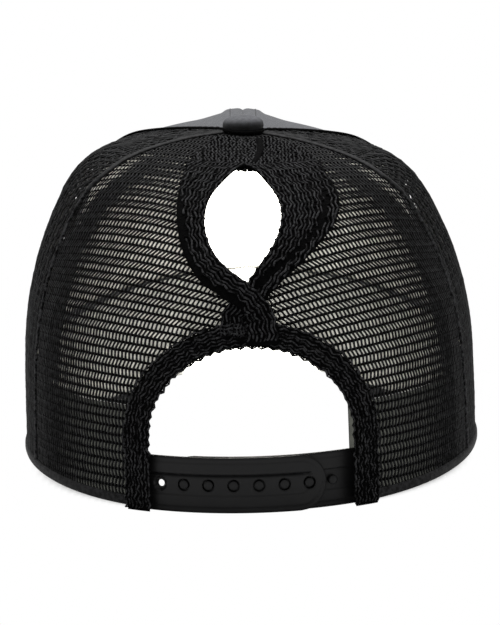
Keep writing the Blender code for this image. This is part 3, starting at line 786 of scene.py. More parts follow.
@once
def sweat_inner_material(cap):
    return finish("sweatband_inside", cap.sweat_colour, 0.92, (300.0, 0.8, 1.2),
                  weave=(0.0007, 0.6, 0.00025), Sheen_Weight=0.2, Sheen_Roughness=0.5)


@once
def plastic_material(cap):
    return finish("black_plastic", cap.plastic_colour, 0.45, (140.0, 0.85, 1.2),
                  grain=(2500.0, 0.12, 0.0001), Specular_IOR_Level=0.35)


@once
def thread_material(cap):
    return finish("sewing_thread", cap.thread_colour, 0.6, (800.0, 0.7, 1.3),
                  grain=(6000.0, 0.5, 0.0001), Sheen_Weight=0.3)


# Geometry Nodes trees

def new_tree(name, inputs):
    """An empty tree with a geometry input and output and the named inputs given."""
    tree = bpy.data.node_groups.new(name, "GeometryNodeTree")
    tree.interface.new_socket("Geometry", in_out="INPUT", socket_type="NodeSocketGeometry")
    tree.interface.new_socket("Geometry", in_out="OUTPUT", socket_type="NodeSocketGeometry")
    for label, kind in inputs:
        tree.interface.new_socket(label, in_out="INPUT", socket_type=kind)
    return tree, tree.nodes.new("NodeGroupInput"), tree.nodes.new("NodeGroupOutput")


def named(tree, name, kind="FLOAT"):
    return add_node(tree, "GeometryNodeInputNamedAttribute", data_type=kind, Name=name)


def worked(tree, operation, *values):
    """The result of a Math node on sockets and numbers."""
    node = add_node(tree, "ShaderNodeMath", operation=operation)
    for socket, value in zip(node.inputs, values):
        if isinstance(value, float):
            socket.default_value = value
        else:
            tree.links.new(value, socket)
    return node.outputs[0]


def net_tree():
    """Zigzag strands and cross bars from the edges of a guide mesh."""
    name = "Knotted Net"
    if name in bpy.data.node_groups:
        return bpy.data.node_groups[name]
    tree, given, result = new_tree(name, (
        ("Strand Radius", "NodeSocketFloat"), ("Bar Radius", "NodeSocketFloat"),
        ("Sway", "NodeSocketFloat"), ("Sides", "NodeSocketInt"),
        ("Smoothness", "NodeSocketInt"), ("Material", "NodeSocketMaterial"),
        ("Bar Material", "NodeSocketMaterial"), ("Knot Swell", "NodeSocketFloat")))
    girth = named(tree, "girth")
    is_bar = named(tree, "bar", "BOOLEAN")
    reach = worked(tree, "MULTIPLY", named(tree, "parity").outputs["Attribute"], given.outputs["Sway"])
    offset = add_node(tree, "ShaderNodeVectorMath", operation="SCALE")
    join(tree, named(tree, "across", "FLOAT_VECTOR"), "Attribute", offset, 0)
    tree.links.new(reach, offset.inputs["Scale"])
    swayed = after(tree, given, "GeometryNodeSetPosition")
    join(tree, offset, 0, swayed, "Offset")
    not_bar = after(tree, is_bar, "FunctionNodeBooleanMath", operation="NOT")
    meshes = add_node(tree, "GeometryNodeJoinGeometry")
    for pick, radius, paint_name in ((not_bar, "Strand Radius", "Material"),
                                     (is_bar, "Bar Radius", "Bar Material")):
        curve = after(tree, swayed, "GeometryNodeMeshToCurve")
        join(tree, pick, 0, curve, "Selection")
        soft = after(tree, curve, "GeometryNodeCurveSplineType", spline_type="CATMULL_ROM")
        fine = after(tree, soft, "GeometryNodeSetSplineResolution", Resolution=1)
        profile = add_node(tree, "GeometryNodeCurvePrimitiveCircle", mode="RADIUS")
        join(tree, given, "Sides", profile, "Resolution")
        join(tree, given, radius, profile, "Radius")
        tube = add_node(tree, "GeometryNodeCurveToMesh", Fill_Caps=True)
        join(tree, profile, "Curve", tube, "Profile Curve")
        if pick is not_bar:
            join(tree, given, "Smoothness", fine, "Resolution")
            swell_knots(tree, given, fine, girth, tube)
        else:
            join(tree, fine, "Geometry", tube, "Curve")
            join(tree, girth, "Attribute", tube, "Scale")
        paint = after(tree, tube, "GeometryNodeSetMaterial")
        join(tree, given, paint_name, paint, "Material")
        join(tree, paint, "Geometry", meshes, "Geometry")
    shade = after(tree, meshes, "GeometryNodeSetShadeSmooth")
    join(tree, after(tree, shade, "GeometryNodeRealizeInstances"), 0, result, 0)
    return tree


def swell_knots(tree, given, curve, girth, tube):
    """Thicken a strand at its knots, which are every second point along it."""
    even = after(tree, curve, "GeometryNodeResampleCurve", mode="EVALUATED")
    join(tree, even, 0, tube, "Curve")
    swell = given.outputs["Knot Swell"]
    index = add_node(tree, "GeometryNodeSplineParameter").outputs["Index"]
    less = worked(tree, "MULTIPLY", worked(tree, "MODULO", index, 2.0), swell)
    share = worked(tree, "SUBTRACT", worked(tree, "ADD", 1.0, swell), less)
    scale = worked(tree, "MULTIPLY", share, girth.outputs["Attribute"])
    tree.links.new(scale, tube.inputs["Scale"])


def stitch_tree():
    """Grains of thread at even steps along the edges of a guide mesh."""
    name = "Stitches"
    if name in bpy.data.node_groups:
        return bpy.data.node_groups[name]
    tree, given, result = new_tree(name, (
        ("Pitch", "NodeSocketFloat"), ("Length", "NodeSocketFloat"),
        ("Thickness", "NodeSocketFloat"), ("Material", "NodeSocketMaterial")))
    curve = after(tree, given, "GeometryNodeMeshToCurve")
    even = after(tree, curve, "GeometryNodeResampleCurve", mode="LENGTH")
    join(tree, given, "Pitch", even, "Length")
    turn = add_node(tree, "FunctionNodeAlignRotationToVector", axis="X")
    join(tree, add_node(tree, "GeometryNodeInputTangent"), "Tangent", turn, "Vector")
    grain = add_node(tree, "GeometryNodeMeshUVSphere", Segments=6, Rings=4, Radius=0.5)
    size = add_node(tree, "ShaderNodeCombineXYZ")
    for axis, label in (("X", "Length"), ("Y", "Thickness"), ("Z", "Thickness")):
        join(tree, given, label, size, axis)
    place = after(tree, even, "GeometryNodeInstanceOnPoints")
    join(tree, grain, "Mesh", place, "Instance")
    join(tree, turn, "Rotation", place, "Rotation")
    join(tree, size, "Vector", place, "Scale")
    shade = after(tree, place, "GeometryNodeSetShadeSmooth")
    real = after(tree, shade, "GeometryNodeRealizeInstances")
    paint = after(tree, real, "GeometryNodeSetMaterial")
    join(tree, given, "Material", paint, "Material")
    join(tree, paint, 0, result, 0)
    return tree


def grown(guide, tree, values):
    """Run a tree on a guide object and keep its result as the object's plain mesh."""
    change = guide.modifiers.new("grown", "NODES")
    change.node_group = tree
    keys = {entry.name: entry.identifier for entry in tree.interface.items_tree
            if entry.in_out == "INPUT"}
    for label, value in values.items():
        change[keys[label]] = value
    bpy.context.view_layer.update()
    graph = bpy.context.evaluated_depsgraph_get()
    mesh = bpy.data.meshes.new_from_object(guide.evaluated_get(graph))
    guide.modifiers.clear()
    old = guide.data
    guide.data = mesh
    mesh.name = guide.name
    bpy.data.meshes.remove(old)
    return guide


def stitch_rows(name, lines, context, pitch=None, material=None):
    """Rows of stitches along lines of points, as one piece."""
    cap = context.scene.trucker_cap
    pitch = pitch or cap.stitch_pitch
    points = []
    edges = []
    for line in lines:
        start = len(points)
        points += (line + CROWN_CENTRE).tolist()
        edges += [(start + k, start + k + 1) for k in range(len(line) - 1)]
    mesh = bpy.data.meshes.new(name)
    mesh.from_pydata(points, edges, [])
    return grown(link_object(name, mesh), stitch_tree(), {
        "Pitch": pitch, "Length": pitch * 0.82,
        "Thickness": cap.thread_thickness, "Material": material or thread_material(context)})


# Net guides

def crown_step(angle, along, heading, distance):
    """Walk a distance over the crown on headings, which stay as straight as the crown lets them."""
    target = crown_point(angle, along) + heading * distance
    small = 1e-4
    for _ in range(3):
        here = crown_point(angle, along)
        by_angle = (crown_point(angle + small, along) - here) / small
        by_along = (here - crown_point(angle, along - small)) / small
        rest = target - here
        aa = np.sum(by_angle ** 2, -1)
        ab = np.sum(by_angle * by_along, -1)
        bb = np.sum(by_along ** 2, -1)
        ra = np.sum(by_angle * rest, -1)
        rb = np.sum(by_along * rest, -1)
        det = np.maximum(aa * bb - ab ** 2, 1e-12)
        angle = angle + np.clip((ra * bb - rb * ab) / det, -0.5, 0.5)
        along = np.clip(along + (rb * aa - ra * ab) / det, 0.001, 0.99)
    normal = crown_normal(angle, along)
    heading = unit(heading - normal * np.sum(heading * normal, -1, keepdims=True))
    return angle, along, heading


def net_places(side, panel, cell_width, cell_height, half_count):
    """Rows and columns of knots of a net panel: grids of angles and of places along the crown."""
    grain = side * np.radians(from_table(GRAIN_SECTIONS, GRAIN_COLUMNS, panel, FINE))
    climbed = distances(crown_point(grain, FINE))
    rows = int(climbed[-1] * SEAM_TOP / cell_height)
    along = np.interp(cell_height * (np.arange(rows) + 0.35), climbed, FINE)
    angle = np.interp(along, FINE, grain)
    normal = crown_normal(angle, along)
    upright = unit(crown_point(angle, along + 1e-3) - crown_point(angle, along - 1e-3))
    heading = unit(np.cross(upright, normal))
    sides = []
    for way in (-1.0, 1.0):
        place = (angle, along, heading * way)
        found = []
        for _ in range(half_count):
            place = crown_step(*place, cell_width)
            found.append(place[:2])
        sides.append(found)
    order = sides[0][::-1] + [(angle, along)] + sides[1]
    return [np.stack(places, 1) for places in zip(*order)]


def even_girth(first, second):
    return np.ones(np.shape(first))


def net_guide(name, first, second, inside, place, jitter, girth=even_girth):
    """Guide mesh of a net: knots at grids of two coordinates, cut where inside() ends."""
    rows, columns = first.shape
    points = place(first, second)
    across = unit(np.gradient(points, axis=1))
    parity = np.where(np.arange(rows) % 2 == 0, 1.0, -1.0)[:, None].repeat(columns, 1)
    kept = inside(first, second)
    number = np.full((rows, columns), -1)
    number[kept] = np.arange(kept.sum())
    out_points = [points[kept]]
    out_across = [across[kept]]
    out_parity = [parity[kept]]
    out_girth = [np.broadcast_to(girth(first, second), first.shape)[kept]]
    edges = []
    bars = []
    total = int(kept.sum())
    for axis, is_bar in ((1, True), (0, False)):
        here = [slice(None), slice(None)]
        there = [slice(None), slice(None)]
        here[axis] = slice(0, -1)
        there[axis] = slice(1, None)
        here, there = tuple(here), tuple(there)
        both = kept[here] & kept[there]
        edges.append(np.stack((number[here][both], number[there][both]), 1))
        bars.append(np.full(int(both.sum()), is_bar))
        for start, stop in ((here, there), (there, here)):
            cut = kept[start] & ~kept[stop]
            a1, b1 = first[start][cut], second[start][cut]
            a2, b2 = first[stop][cut], second[stop][cut]
            low, high = np.zeros(len(a1)), np.ones(len(a1))
            for _ in range(12):
                middle = (low + high) / 2
                good = inside(a1 + (a2 - a1) * middle, b1 + (b2 - b1) * middle)
                low = np.where(good, middle, low)
                high = np.where(good, high, middle)
            u, v = a1 + (a2 - a1) * low, b1 + (b2 - b1) * low
            far = low > 0.12
            out_points.append(place(u, v)[far])
            out_across.append(across[start][cut][far])
            out_parity.append((parity[start][cut] * (1 - low) + parity[stop][cut] * low)[far])
            out_girth.append(np.broadcast_to(girth(u, v), u.shape)[far])
            fresh = total + np.arange(int(far.sum()))
            edges.append(np.stack((number[start][cut][far], fresh), 1))
            bars.append(np.full(len(fresh), is_bar))
            total += len(fresh)
    chance = np.random.default_rng(11)
    out_points = np.concatenate(out_points) + CROWN_CENTRE
    out_points += jitter * chance.uniform(-1.0, 1.0, out_points.shape)
    out_girth = np.concatenate(out_girth)
    out_girth = out_girth * (1 + 900 * jitter * chance.uniform(-1.0, 1.0, out_girth.shape))
    mesh = bpy.data.meshes.new(name)
    mesh.from_pydata(out_points.tolist(), np.concatenate(edges).tolist(), [])
    for label, kind, domain, values in (
            ("across", "FLOAT_VECTOR", "POINT", np.concatenate(out_across)),
            ("parity", "FLOAT", "POINT", np.concatenate(out_parity)),
            ("girth", "FLOAT", "POINT", out_girth),
            ("bar", "BOOLEAN", "EDGE", np.concatenate(bars))):
        layer = mesh.attributes.new(label, kind, domain)
        key = "vector" if kind == "FLOAT_VECTOR" else "value"
        layer.data.foreach_set(key, values.ravel())
    return link_object(name, mesh)


def grow_net(guide, context, strand, bar, sway, material=None, bar_material=None, swell=0.1):
    # By default the bars take the near-black backing colour, darker than the strands: partly the yarn's
    # twist, partly painted shade.
    return grown(guide, net_tree(), {
        "Strand Radius": strand, "Bar Radius": bar, "Sway": sway, "Sides": 6, "Smoothness": 2,
        "Material": material or net_material(context),
        "Bar Material": bar_material or backing_and_painted_shade_material(context), "Knot Swell": swell})


def opening_table(side):
    """Half width of the openings of a back panel up the crown: (along, half)."""
    rows = [(0.0, ARCH_HALF_WIDTH)]
    for turn in np.linspace(0.0, math.pi / 2, 40):
        half = ARCH_HALF_WIDTH * math.cos(turn)
        height = ARCH_SPRING + ARCH_RISE * math.sin(turn)
        angle = angle_at_x(side * half, ARCH_TOP_ALONG * 0.8)
        rows.append((float(along_at_height(angle, height)), half))
    rows.append((HOLE_FOOT - 0.002, NO_OPENING))
    for station in np.linspace(0.02, 0.98, 40):
        rows.append((float(station_along(station)), float(hole_edge(side, station))))
    rows += [(HOLE_HEAD + 0.002, NO_OPENING), (1.0, NO_OPENING)]
    return np.array(rows)


def build_net_panel(context, side, word, panel):
    cap = context.scene.trucker_cap
    angles, alongs = net_places(side, panel, cap.cell_width, cap.cell_height, 62)
    openings = opening_table(side)

    def inside(angle, along):
        turn = side * angle
        point = crown_point(angle, along)
        good = (point[..., 2] > rim_height(angle) + 0.0008) & (along < 0.988)
        seam = side_seam(along)
        room = angle_width(0.0012 * 0.4, angle, along)
        if panel == "side":
            return good & (turn > seam + room) & (turn < front_seam(along) - room)
        half = np.interp(along, openings[:, 0], openings[:, 1])
        return good & (turn < seam - room) & (side * point[..., 0] > half + np.where(half > 0, 0.003, 0.0))

    def place(angle, along):
        if panel == "back":
            return crown_layer(angle, along, NET_WALL / 2)
        fold = 0.5 + 0.5 * np.sin(2 * math.pi * angle * CROWN_HALF_WIDTH / FOLD_PITCH)
        fold = fold * step_up(along, 0.25, 0.6) * (1 - step_up(along, 0.85, 0.97))
        return crown_layer(angle, along, NET_WALL / 2 + FOLD_DEPTH * fold)

    def girth(angle, along):
        """Thinner beside the side seam, high up, where light shows through."""
        point = crown_point(angle, along)
        turn = side_seam(along) - side * angle
        from_seam = turn * np.hypot(point[..., 0], point[..., 1])
        high = step_up(along, 0.5, 0.56) * (1 - step_up(along, 0.8, 0.84))
        return 1.0 - 0.4 * high * (1 - step_up(from_seam, 0.0055, 0.007))

    name = f"{panel}_net_{word}"
    if panel == "side":
        guide = net_guide(name, angles, alongs, inside, place, FAINT_JITTER)
        item = grow_net(guide, context, cap.strand_radius * 1.1, cap.bar_radius * 0.6, cap.sway,
                        bar_material=net_material(context))
    else:
        guide = net_guide(name, angles, alongs, inside, place, FAINT_JITTER, girth)
        item = grow_net(guide, context, cap.strand_radius * 0.88, cap.bar_radius, cap.sway,
                        swell=0.5)
    present(item, (f"{panel}_mesh_{word}",))


# Operators

class CapSettings(bpy.types.PropertyGroup):
    """Sizes and colours of the cap's finish."""

    cell_width: bpy.props.FloatProperty(
        name="Cell Width", description="Distance between two strands of the net",
        default=0.00157, min=0.0005, unit="LENGTH")
    cell_height: bpy.props.FloatProperty(
        name="Cell Height", description="Distance between two bars of the net",
        default=0.00295, min=0.0005, unit="LENGTH")
    strand_radius: bpy.props.FloatProperty(
        name="Strand Radius", description="Radius of the net's zigzag strands",
        default=0.00038, min=0.00005, unit="LENGTH")
    bar_radius: bpy.props.FloatProperty(
        name="Bar Radius", description="Radius of the bars between the strands",
        default=0.00048, min=0.00005, unit="LENGTH")
    sway: bpy.props.FloatProperty(
        name="Sway", description="Sideways swing of a strand at each bar",
        default=0.00035, min=0.0, unit="LENGTH")
    stitch_pitch: bpy.props.FloatProperty(
        name="Stitch Pitch", description="Distance between stitches",
        default=0.0028, min=0.0005, unit="LENGTH")
    thread_thickness: bpy.props.FloatProperty(
        name="Thread Thickness", description="Thickness of the sewing thread",
        default=0.00045, min=0.0001, unit="LENGTH")
    cotton_colour: bpy.props.FloatVectorProperty(
        name="Cotton Colour", description="Colour of the front panels, brim and button",
        default=(0.135, 0.138, 0.15), subtype="COLOR")
    net_colour: bpy.props.FloatVectorProperty(
        name="Net Colour", description="Colour of the net yarn",
        default=(0.0105, 0.0105, 0.011), subtype="COLOR")
    lining_colour: bpy.props.FloatVectorProperty(
        name="Lining Colour", description="Colour of the lining behind the front panels",
        default=(0.78, 0.76, 0.70), subtype="COLOR")
    sweat_colour: bpy.props.FloatVectorProperty(
        name="Sweatband Colour", description="Colour of the sweatband's inner face",
        default=(0.6, 0.59, 0.54), subtype="COLOR")
    plastic_colour: bpy.props.FloatVectorProperty(
        name="Plastic Colour", description="Colour of the snap strap",
        default=(0.0085, 0.0085, 0.009), subtype="COLOR")
    thread_colour: bpy.props.FloatVectorProperty(
        name="Thread Colour", description="Colour of the sewing thread",
        default=(0.05, 0.05, 0.055), subtype="COLOR")


class StageSettings(bpy.types.PropertyGroup):
    """Camera and light."""

    camera_distance: bpy.props.FloatProperty(
        name="Camera Distance", description="Distance of the camera from the cap",
        default=1.2, min=0.3, unit="LENGTH")
    camera_rise: bpy.props.FloatProperty(
        name="Camera Rise", description="Angle of the camera above the cap",
        default=math.radians(9.8), subtype="ANGLE")
    camera_roll: bpy.props.FloatProperty(
        name="Camera Roll", description="Turn of the camera about its view",
        default=math.radians(1.5), subtype="ANGLE")
    lens: bpy.props.FloatProperty(
        name="Lens", description="Focal length of the camera in millimetres",
        default=190.8, min=10.0)
    floor_colour: bpy.props.FloatVectorProperty(
        name="Floor Colour", description="Colour of the floor",
        default=(0.72, 0.72, 0.72), subtype="COLOR")
    floor_glow: bpy.props.FloatProperty(
        name="Floor Glow", description="Light that the floor gives off, so that it reads white",
        default=1.0, min=0.0)
    sky_light: bpy.props.FloatProperty(
        name="Sky Light", description="Strength of the even light from all round",
        default=0.35, min=0.0)
    inner_light: bpy.props.FloatProperty(
        name="Inner Light", description="Power of the light that reaches the lining, in watts",
        default=38.0, min=0.0)
    hole_light: bpy.props.FloatProperty(
        name="Hole Light", description="Power of the narrow light through the pony-tail hole, in watts",
        default=400.0, min=0.0)
    top_light: bpy.props.FloatProperty(
        name="Top Light", description="Power of the large light above the cap in watts",
        default=16.0, min=0.0)


class BuildStage(bpy.types.Operator):
    """Add the floor, the lights and the camera."""

    bl_idname = "trucker_cap.stage"
    bl_label = "Stage"

    def execute(self, context):
        stage = context.scene.trucker_cap_stage
        add_floor(context, stage)
        add_lights(context, stage)
        add_camera(context, stage)
        return {"FINISHED"}


def add_floor(context, stage):
    """A plain floor that shows plain white to the camera, except under the cap."""
    material, tree, shader = new_material("floor_paint", stage.floor_colour, 0.9)
    glow = add_node(tree, "ShaderNodeEmission", Strength=stage.floor_glow)
    shade = add_node(tree, "ShaderNodeAttribute", attribute_name="glow")
    mix = add_node(tree, "ShaderNodeMixShader")
    path = add_node(tree, "ShaderNodeLightPath")
    seen = worked(tree, "MULTIPLY", path.outputs["Is Camera Ray"], shade.outputs["Fac"])
    tree.links.new(seen, mix.inputs[0])
    join(tree, shader, "BSDF", mix, 1)
    join(tree, glow, "Emission", mix, 2)
    join(tree, mix, 0, tree.nodes["Material Output"], "Surface")
    fine = np.linspace(-SHADE_REACH, SHADE_REACH, SHADE_STEPS)
    x, y = np.meshgrid(*(np.concatenate(((-FLOOR_REACH,), steps, (FLOOR_REACH,)))
                         for steps in (fine, fine + SHADE_FORWARD)))
    points = np.stack((x, y, np.full(x.shape, -FLOOR_DROP)), -1) - CROWN_CENTRE
    floor = mesh_piece("floor", points, grid_quads(*x.shape).tolist(), (material,))
    x, y = points[..., 0], points[..., 1]
    corner = crown_point(FRONT_SEAM, 0.0)
    reach = CROWN_HALF_LENGTH + BRIM_LENGTH - corner[1] + 0.002
    crown = np.hypot(x / CROWN_HALF_WIDTH, y / CROWN_HALF_LENGTH)
    brim = (x / BRIM_HALF_WIDTH) ** 2 + (np.maximum(y - corner[1], 0.0) / reach) ** (2 / BRIM_FULLNESS)
    under = np.maximum(1 - step_up(crown, 0.9, 0.98),
                       (1 - step_up(brim, 0.8, 1.0)) * (y > corner[1] - 0.02))
    eye = np.array(camera_view(stage)[0]) - CROWN_CENTRE
    share = (-0.97 * CROWN_HALF_LENGTH - y) / (eye[1] - y)
    behind_x = x + (eye[0] - x) * share
    behind_z = eye[2] * share
    bend = np.sqrt(np.clip(1 - (np.maximum(behind_z - ARCH_SPRING, 0.0) / ARCH_RISE) ** 2, 0.0, 1.0))
    under = under * step_up(np.abs(behind_x) - ARCH_HALF_WIDTH * bend, 0.0008, 0.9 * HEM_WIDTH)
    layer = floor.data.attributes.new("glow", "FLOAT", "POINT")
    layer.data.foreach_set("value", (1 - under).ravel())


def add_lamp(name, kind, place, aim, power, receivers=None):
    """A lamp at a place that shines at another, on all pieces or on a collection of them."""
    lamp = bpy.data.lights.new(name, kind)
    lamp.energy = power
    item = link_object(name, lamp)
    item.location = place
    item.rotation_euler = (Vector(aim) - Vector(place)).to_track_quat("-Z", "Y").to_euler()
    if kind == "AREA":
        lamp.shape = "RECTANGLE"
    if receivers is not None:
        item.light_linking.receiver_collection = receivers
    return lamp


def add_lights(context, stage):
    world = bpy.data.worlds.new("studio")
    world.use_nodes = True
    back = world.node_tree.nodes["Background"]
    back.inputs["Color"].default_value = (1.0, 1.0, 1.0, 1.0)
    back.inputs["Strength"].default_value = stage.sky_light
    context.scene.world = world
    context.scene.view_settings.view_transform = "Standard"
    x, y = CROWN_CENTRE[:2]
    lamp = add_lamp("top_light", "AREA", (x, y + 0.35, 1.3), (x, y, 0.1), stage.top_light)
    lamp.size, lamp.size_y = TOP_LAMP_SIZE
    inside = bpy.data.collections.new("inside_pieces")
    place, forward, _ = camera_view(stage)
    lamp = add_lamp("inner_light", "AREA", place, place + forward, stage.inner_light, inside)
    lamp.size, lamp.size_y = INNER_LAMP_SIZE
    hole = (crown_point(0.0, HOLE_FOOT) + crown_point(0.0, HOLE_HEAD)) / 2
    arch = np.array((0.0005, -0.98 * CROWN_HALF_LENGTH, ARCH_TOP - HOLE_SPOT))
    for name, aim, radius in (("hole_light", hole, HOLE_SPOT), ("arch_light", arch, ARCH_SPOT)):
        aim = Vector(aim + CROWN_CENTRE)
        lamp = add_lamp(name, "SPOT", place, aim, stage.hole_light, inside)
        lamp.shadow_soft_size = 0.001
        lamp.spot_size = 2 * math.atan(radius / (aim - place).length)
        lamp.spot_blend = 0.03


def light_through(item):
    """Let the lights beside the camera reach a piece inside the cap through its openings."""
    bpy.data.collections["inside_pieces"].objects.link(item)


def camera_view(stage):
    """The camera's place, and its forward and upright directions before its roll."""
    rise = stage.camera_rise
    forward = Vector((0.0, math.cos(rise), -math.sin(rise)))
    upright = Vector((0.0, math.sin(rise), math.cos(rise)))
    target = Vector(CROWN_CENTRE) + Vector((0.0, 0.0, TARGET_HEIGHT))
    return target - forward * stage.camera_distance, forward, upright


def add_camera(context, stage):
    roll = stage.camera_roll
    place, forward, upright = camera_view(stage)
    right = Vector((1.0, 0.0, 0.0))
    turned_right = right * math.cos(roll) - upright * math.sin(roll)
    turned_up = right * math.sin(roll) + upright * math.cos(roll)
    data = bpy.data.cameras.new("camera")
    data.lens = stage.lens
    data.sensor_width = 36.0
    data.shift_x = FRAME_SHIFT
    data.clip_start = 0.05
    data.clip_end = 60.0
    camera = link_object("camera", data)
    matrix = Matrix((turned_right, turned_up, -forward)).transposed().to_4x4()
    matrix.translation = place
    camera.matrix_world = matrix
    context.scene.camera = camera


class BuildNets(bpy.types.Operator):
    """Knot the four net panels."""

    bl_idname = "trucker_cap.nets"
    bl_label = "Net Panels"

    def execute(self, context):
        for side, word in SIDES:
            build_net_panel(context, side, word, "back")
            build_net_panel(context, side, word, "side")
        return {"FINISHED"}


class BuildBands(bpy.types.Operator):
    """Fold the two bands beside the pony-tail hole."""

    bl_idname = "trucker_cap.bands"
    bl_label = "Pony-Tail Bands"

    def execute(self, context):
        for (side, word), table in zip(SIDES, (BAND_LEFT, BAND_RIGHT)):
            station = np.linspace(table[0][0], table[-1][0], 110)
            share = stops(0.012, NET_PITCH, SOFT_EDGE)[None, :]
            depth = ON_TOP + band_sink(station[:, None])
            middle = band_point(side, table, station[:, None], share, depth)
            wall = cloth_wall(f"band_{word}", middle, NET_WALL, SOFT_EDGE, backing_and_painted_shade_material(context))
            present(wall, (f"pony_band_{word}",))
            self.add_net(context, side, word, table)
        self.add_edges(context)
        return {"FINISHED"}

    def add_edges(self, context):
        """The right band's rolled outer edge, a tuck above the hole and the seam that joins the bands."""
        backing = backing_and_painted_shade_material(context)
        line = band_point(1, BAND_RIGHT, np.linspace(-0.2, 0.62, 70), 0.93, ON_TOP)
        add_roll("band_edge_right", line, 0.0009, 0.0007, backing)
        angle = np.radians(np.linspace(20.0, 4.5, 24))
        along = np.linspace(0.925, HOLE_HEAD + 0.004, 24)
        add_roll("tuck", crown_layer(angle, along, KNIT_ON_TOP), 0.0011, 0.0007, backing)
        station = np.linspace(1.0, 1.95, 30)
        along = station_along(station)
        line = crown_layer(0.0, along, 0.0001 + band_sink(station))
        add_roll("centre_seam", line, 0.0011, 0.0004, backing, normals=crown_normal(0.0, along))

    def add_net(self, context, side, word, table):
        """Net on the band: columns follow its inner edge, a strand's pitch apart."""
        cap = context.scene.trucker_cap
        station = np.linspace(table[0][0], table[-1][0], 600)
        walked = distances(band_point(side, table, station, 0.3, 0.0))
        length = float(walked[-1])
        step = cap.cell_height * 0.8
        rows = np.interp(step * (np.arange(int(length / step)) + 0.5), walked, station)
        columns = cap.cell_width * 0.82 * (np.arange(24) + 0.4)

        def reach(at):
            return BAND_WIDTH * from_table(table, BAND_COLUMNS, "width", at)

        def inside(across, at):
            left = 0.97 * reach(at) - across
            # Near the band's outer edge the net stops and its black wall shows: a painted shadow where the
            # band's fold casts shade.
            shadow_strip = 0.0023 * step_up(at, -0.3, 0.0) * (1 - step_up(at, 0.45, 0.7))
            if side < 0:
                return left > shadow_strip
            return (left > 0.0) & ((left < 0.0034) | (left > 0.0034 + shadow_strip))

        def place(across, at):
            lift = band_sink(at)
            if side > 0:
                fold = 1 - step_up(0.97 * reach(at) - across, 0.002, 0.0036)
                lift = lift - 0.0006 * fold * step_up(at, -0.2, 0.0) * (1 - step_up(at, 0.5, 0.65))
            share = np.clip(across / reach(at), 0.0, 1.0)
            return band_point(side, table, at, share, lift - GAP - NET_WALL)

        guide = net_guide(f"band_net_{word}", *np.meshgrid(columns, rows), inside, place, KNIT_JITTER)
        item = grow_net(guide, context, cap.strand_radius * 0.9, cap.bar_radius * 0.7,
                        cap.sway * 1.1, dense_material(context))
        present(item)


class BuildHem(bpy.types.Operator):
    """Fold the hem of the arched opening."""

    bl_idname = "trucker_cap.hem"
    bl_label = "Arch Hem"

    def execute(self, context):
        cap = context.scene.trucker_cap
        length = float(distances(hem_point(0.0, np.linspace(0.0, 1.0, 200), 0.0))[-1])
        run = np.linspace(0.0, 1.0, int(length / 0.0012))[:, None]
        across = (stops(HEM_WIDTH, NET_PITCH, SOFT_EDGE) * HEM_WIDTH)[None, :]
        wall = cloth_wall("hem_fold", hem_point(across, run, ON_TOP), NET_WALL, SOFT_EDGE,
                          backing_and_painted_shade_material(context))
        present(wall, ("arch_hem",))
        count = int(length / 0.0017)
        rows = (np.arange(count) + 0.5) / count
        columns = np.arange(-0.0002, HEM_WIDTH + 0.0003, 0.00112)

        def inside(across, run):
            return np.ones(np.shape(across), bool)

        def place(across, run):
            return hem_point(across, run, KNIT_ON_TOP)

        guide = net_guide("hem_net", *np.meshgrid(columns, rows), inside, place, KNIT_JITTER)
        item = grow_net(guide, context, cap.strand_radius * 0.85, cap.bar_radius * 0.7, cap.sway,
                        dense_material(context))
        present(item)
        return {"FINISHED"}


def front_dip(angle, along):
    """How far the shoulders of the front panels sink beside the button's ridge."""
    angle, along = spread(angle, along)
    place = crown_point(angle, along)
    turn = np.abs(np.arctan2(np.sin(angle), np.cos(angle))) - front_seam(along)
    from_seam = turn * np.hypot(place[..., 0], place[..., 1])
    dip = step_up(np.abs(place[..., 0]), SHOULDER_START, SHOULDER_FULL)
    dip = dip * step_up(along, 0.5, 0.72) * step_up(from_seam, 0.0, SHOULDER_FADE)
    return SHOULDER_DIP * dip


def add_seam(name, side, seam, ends, half_width, half_height, material):
    """A roll along a seam line on one side, between two places up the crown."""
    along = np.linspace(*ends, 90)
    angle = side * seam(along)
    add_roll(name, crown_layer(angle, along, 0.0), half_width, half_height, material,
             normals=crown_normal(angle, along))


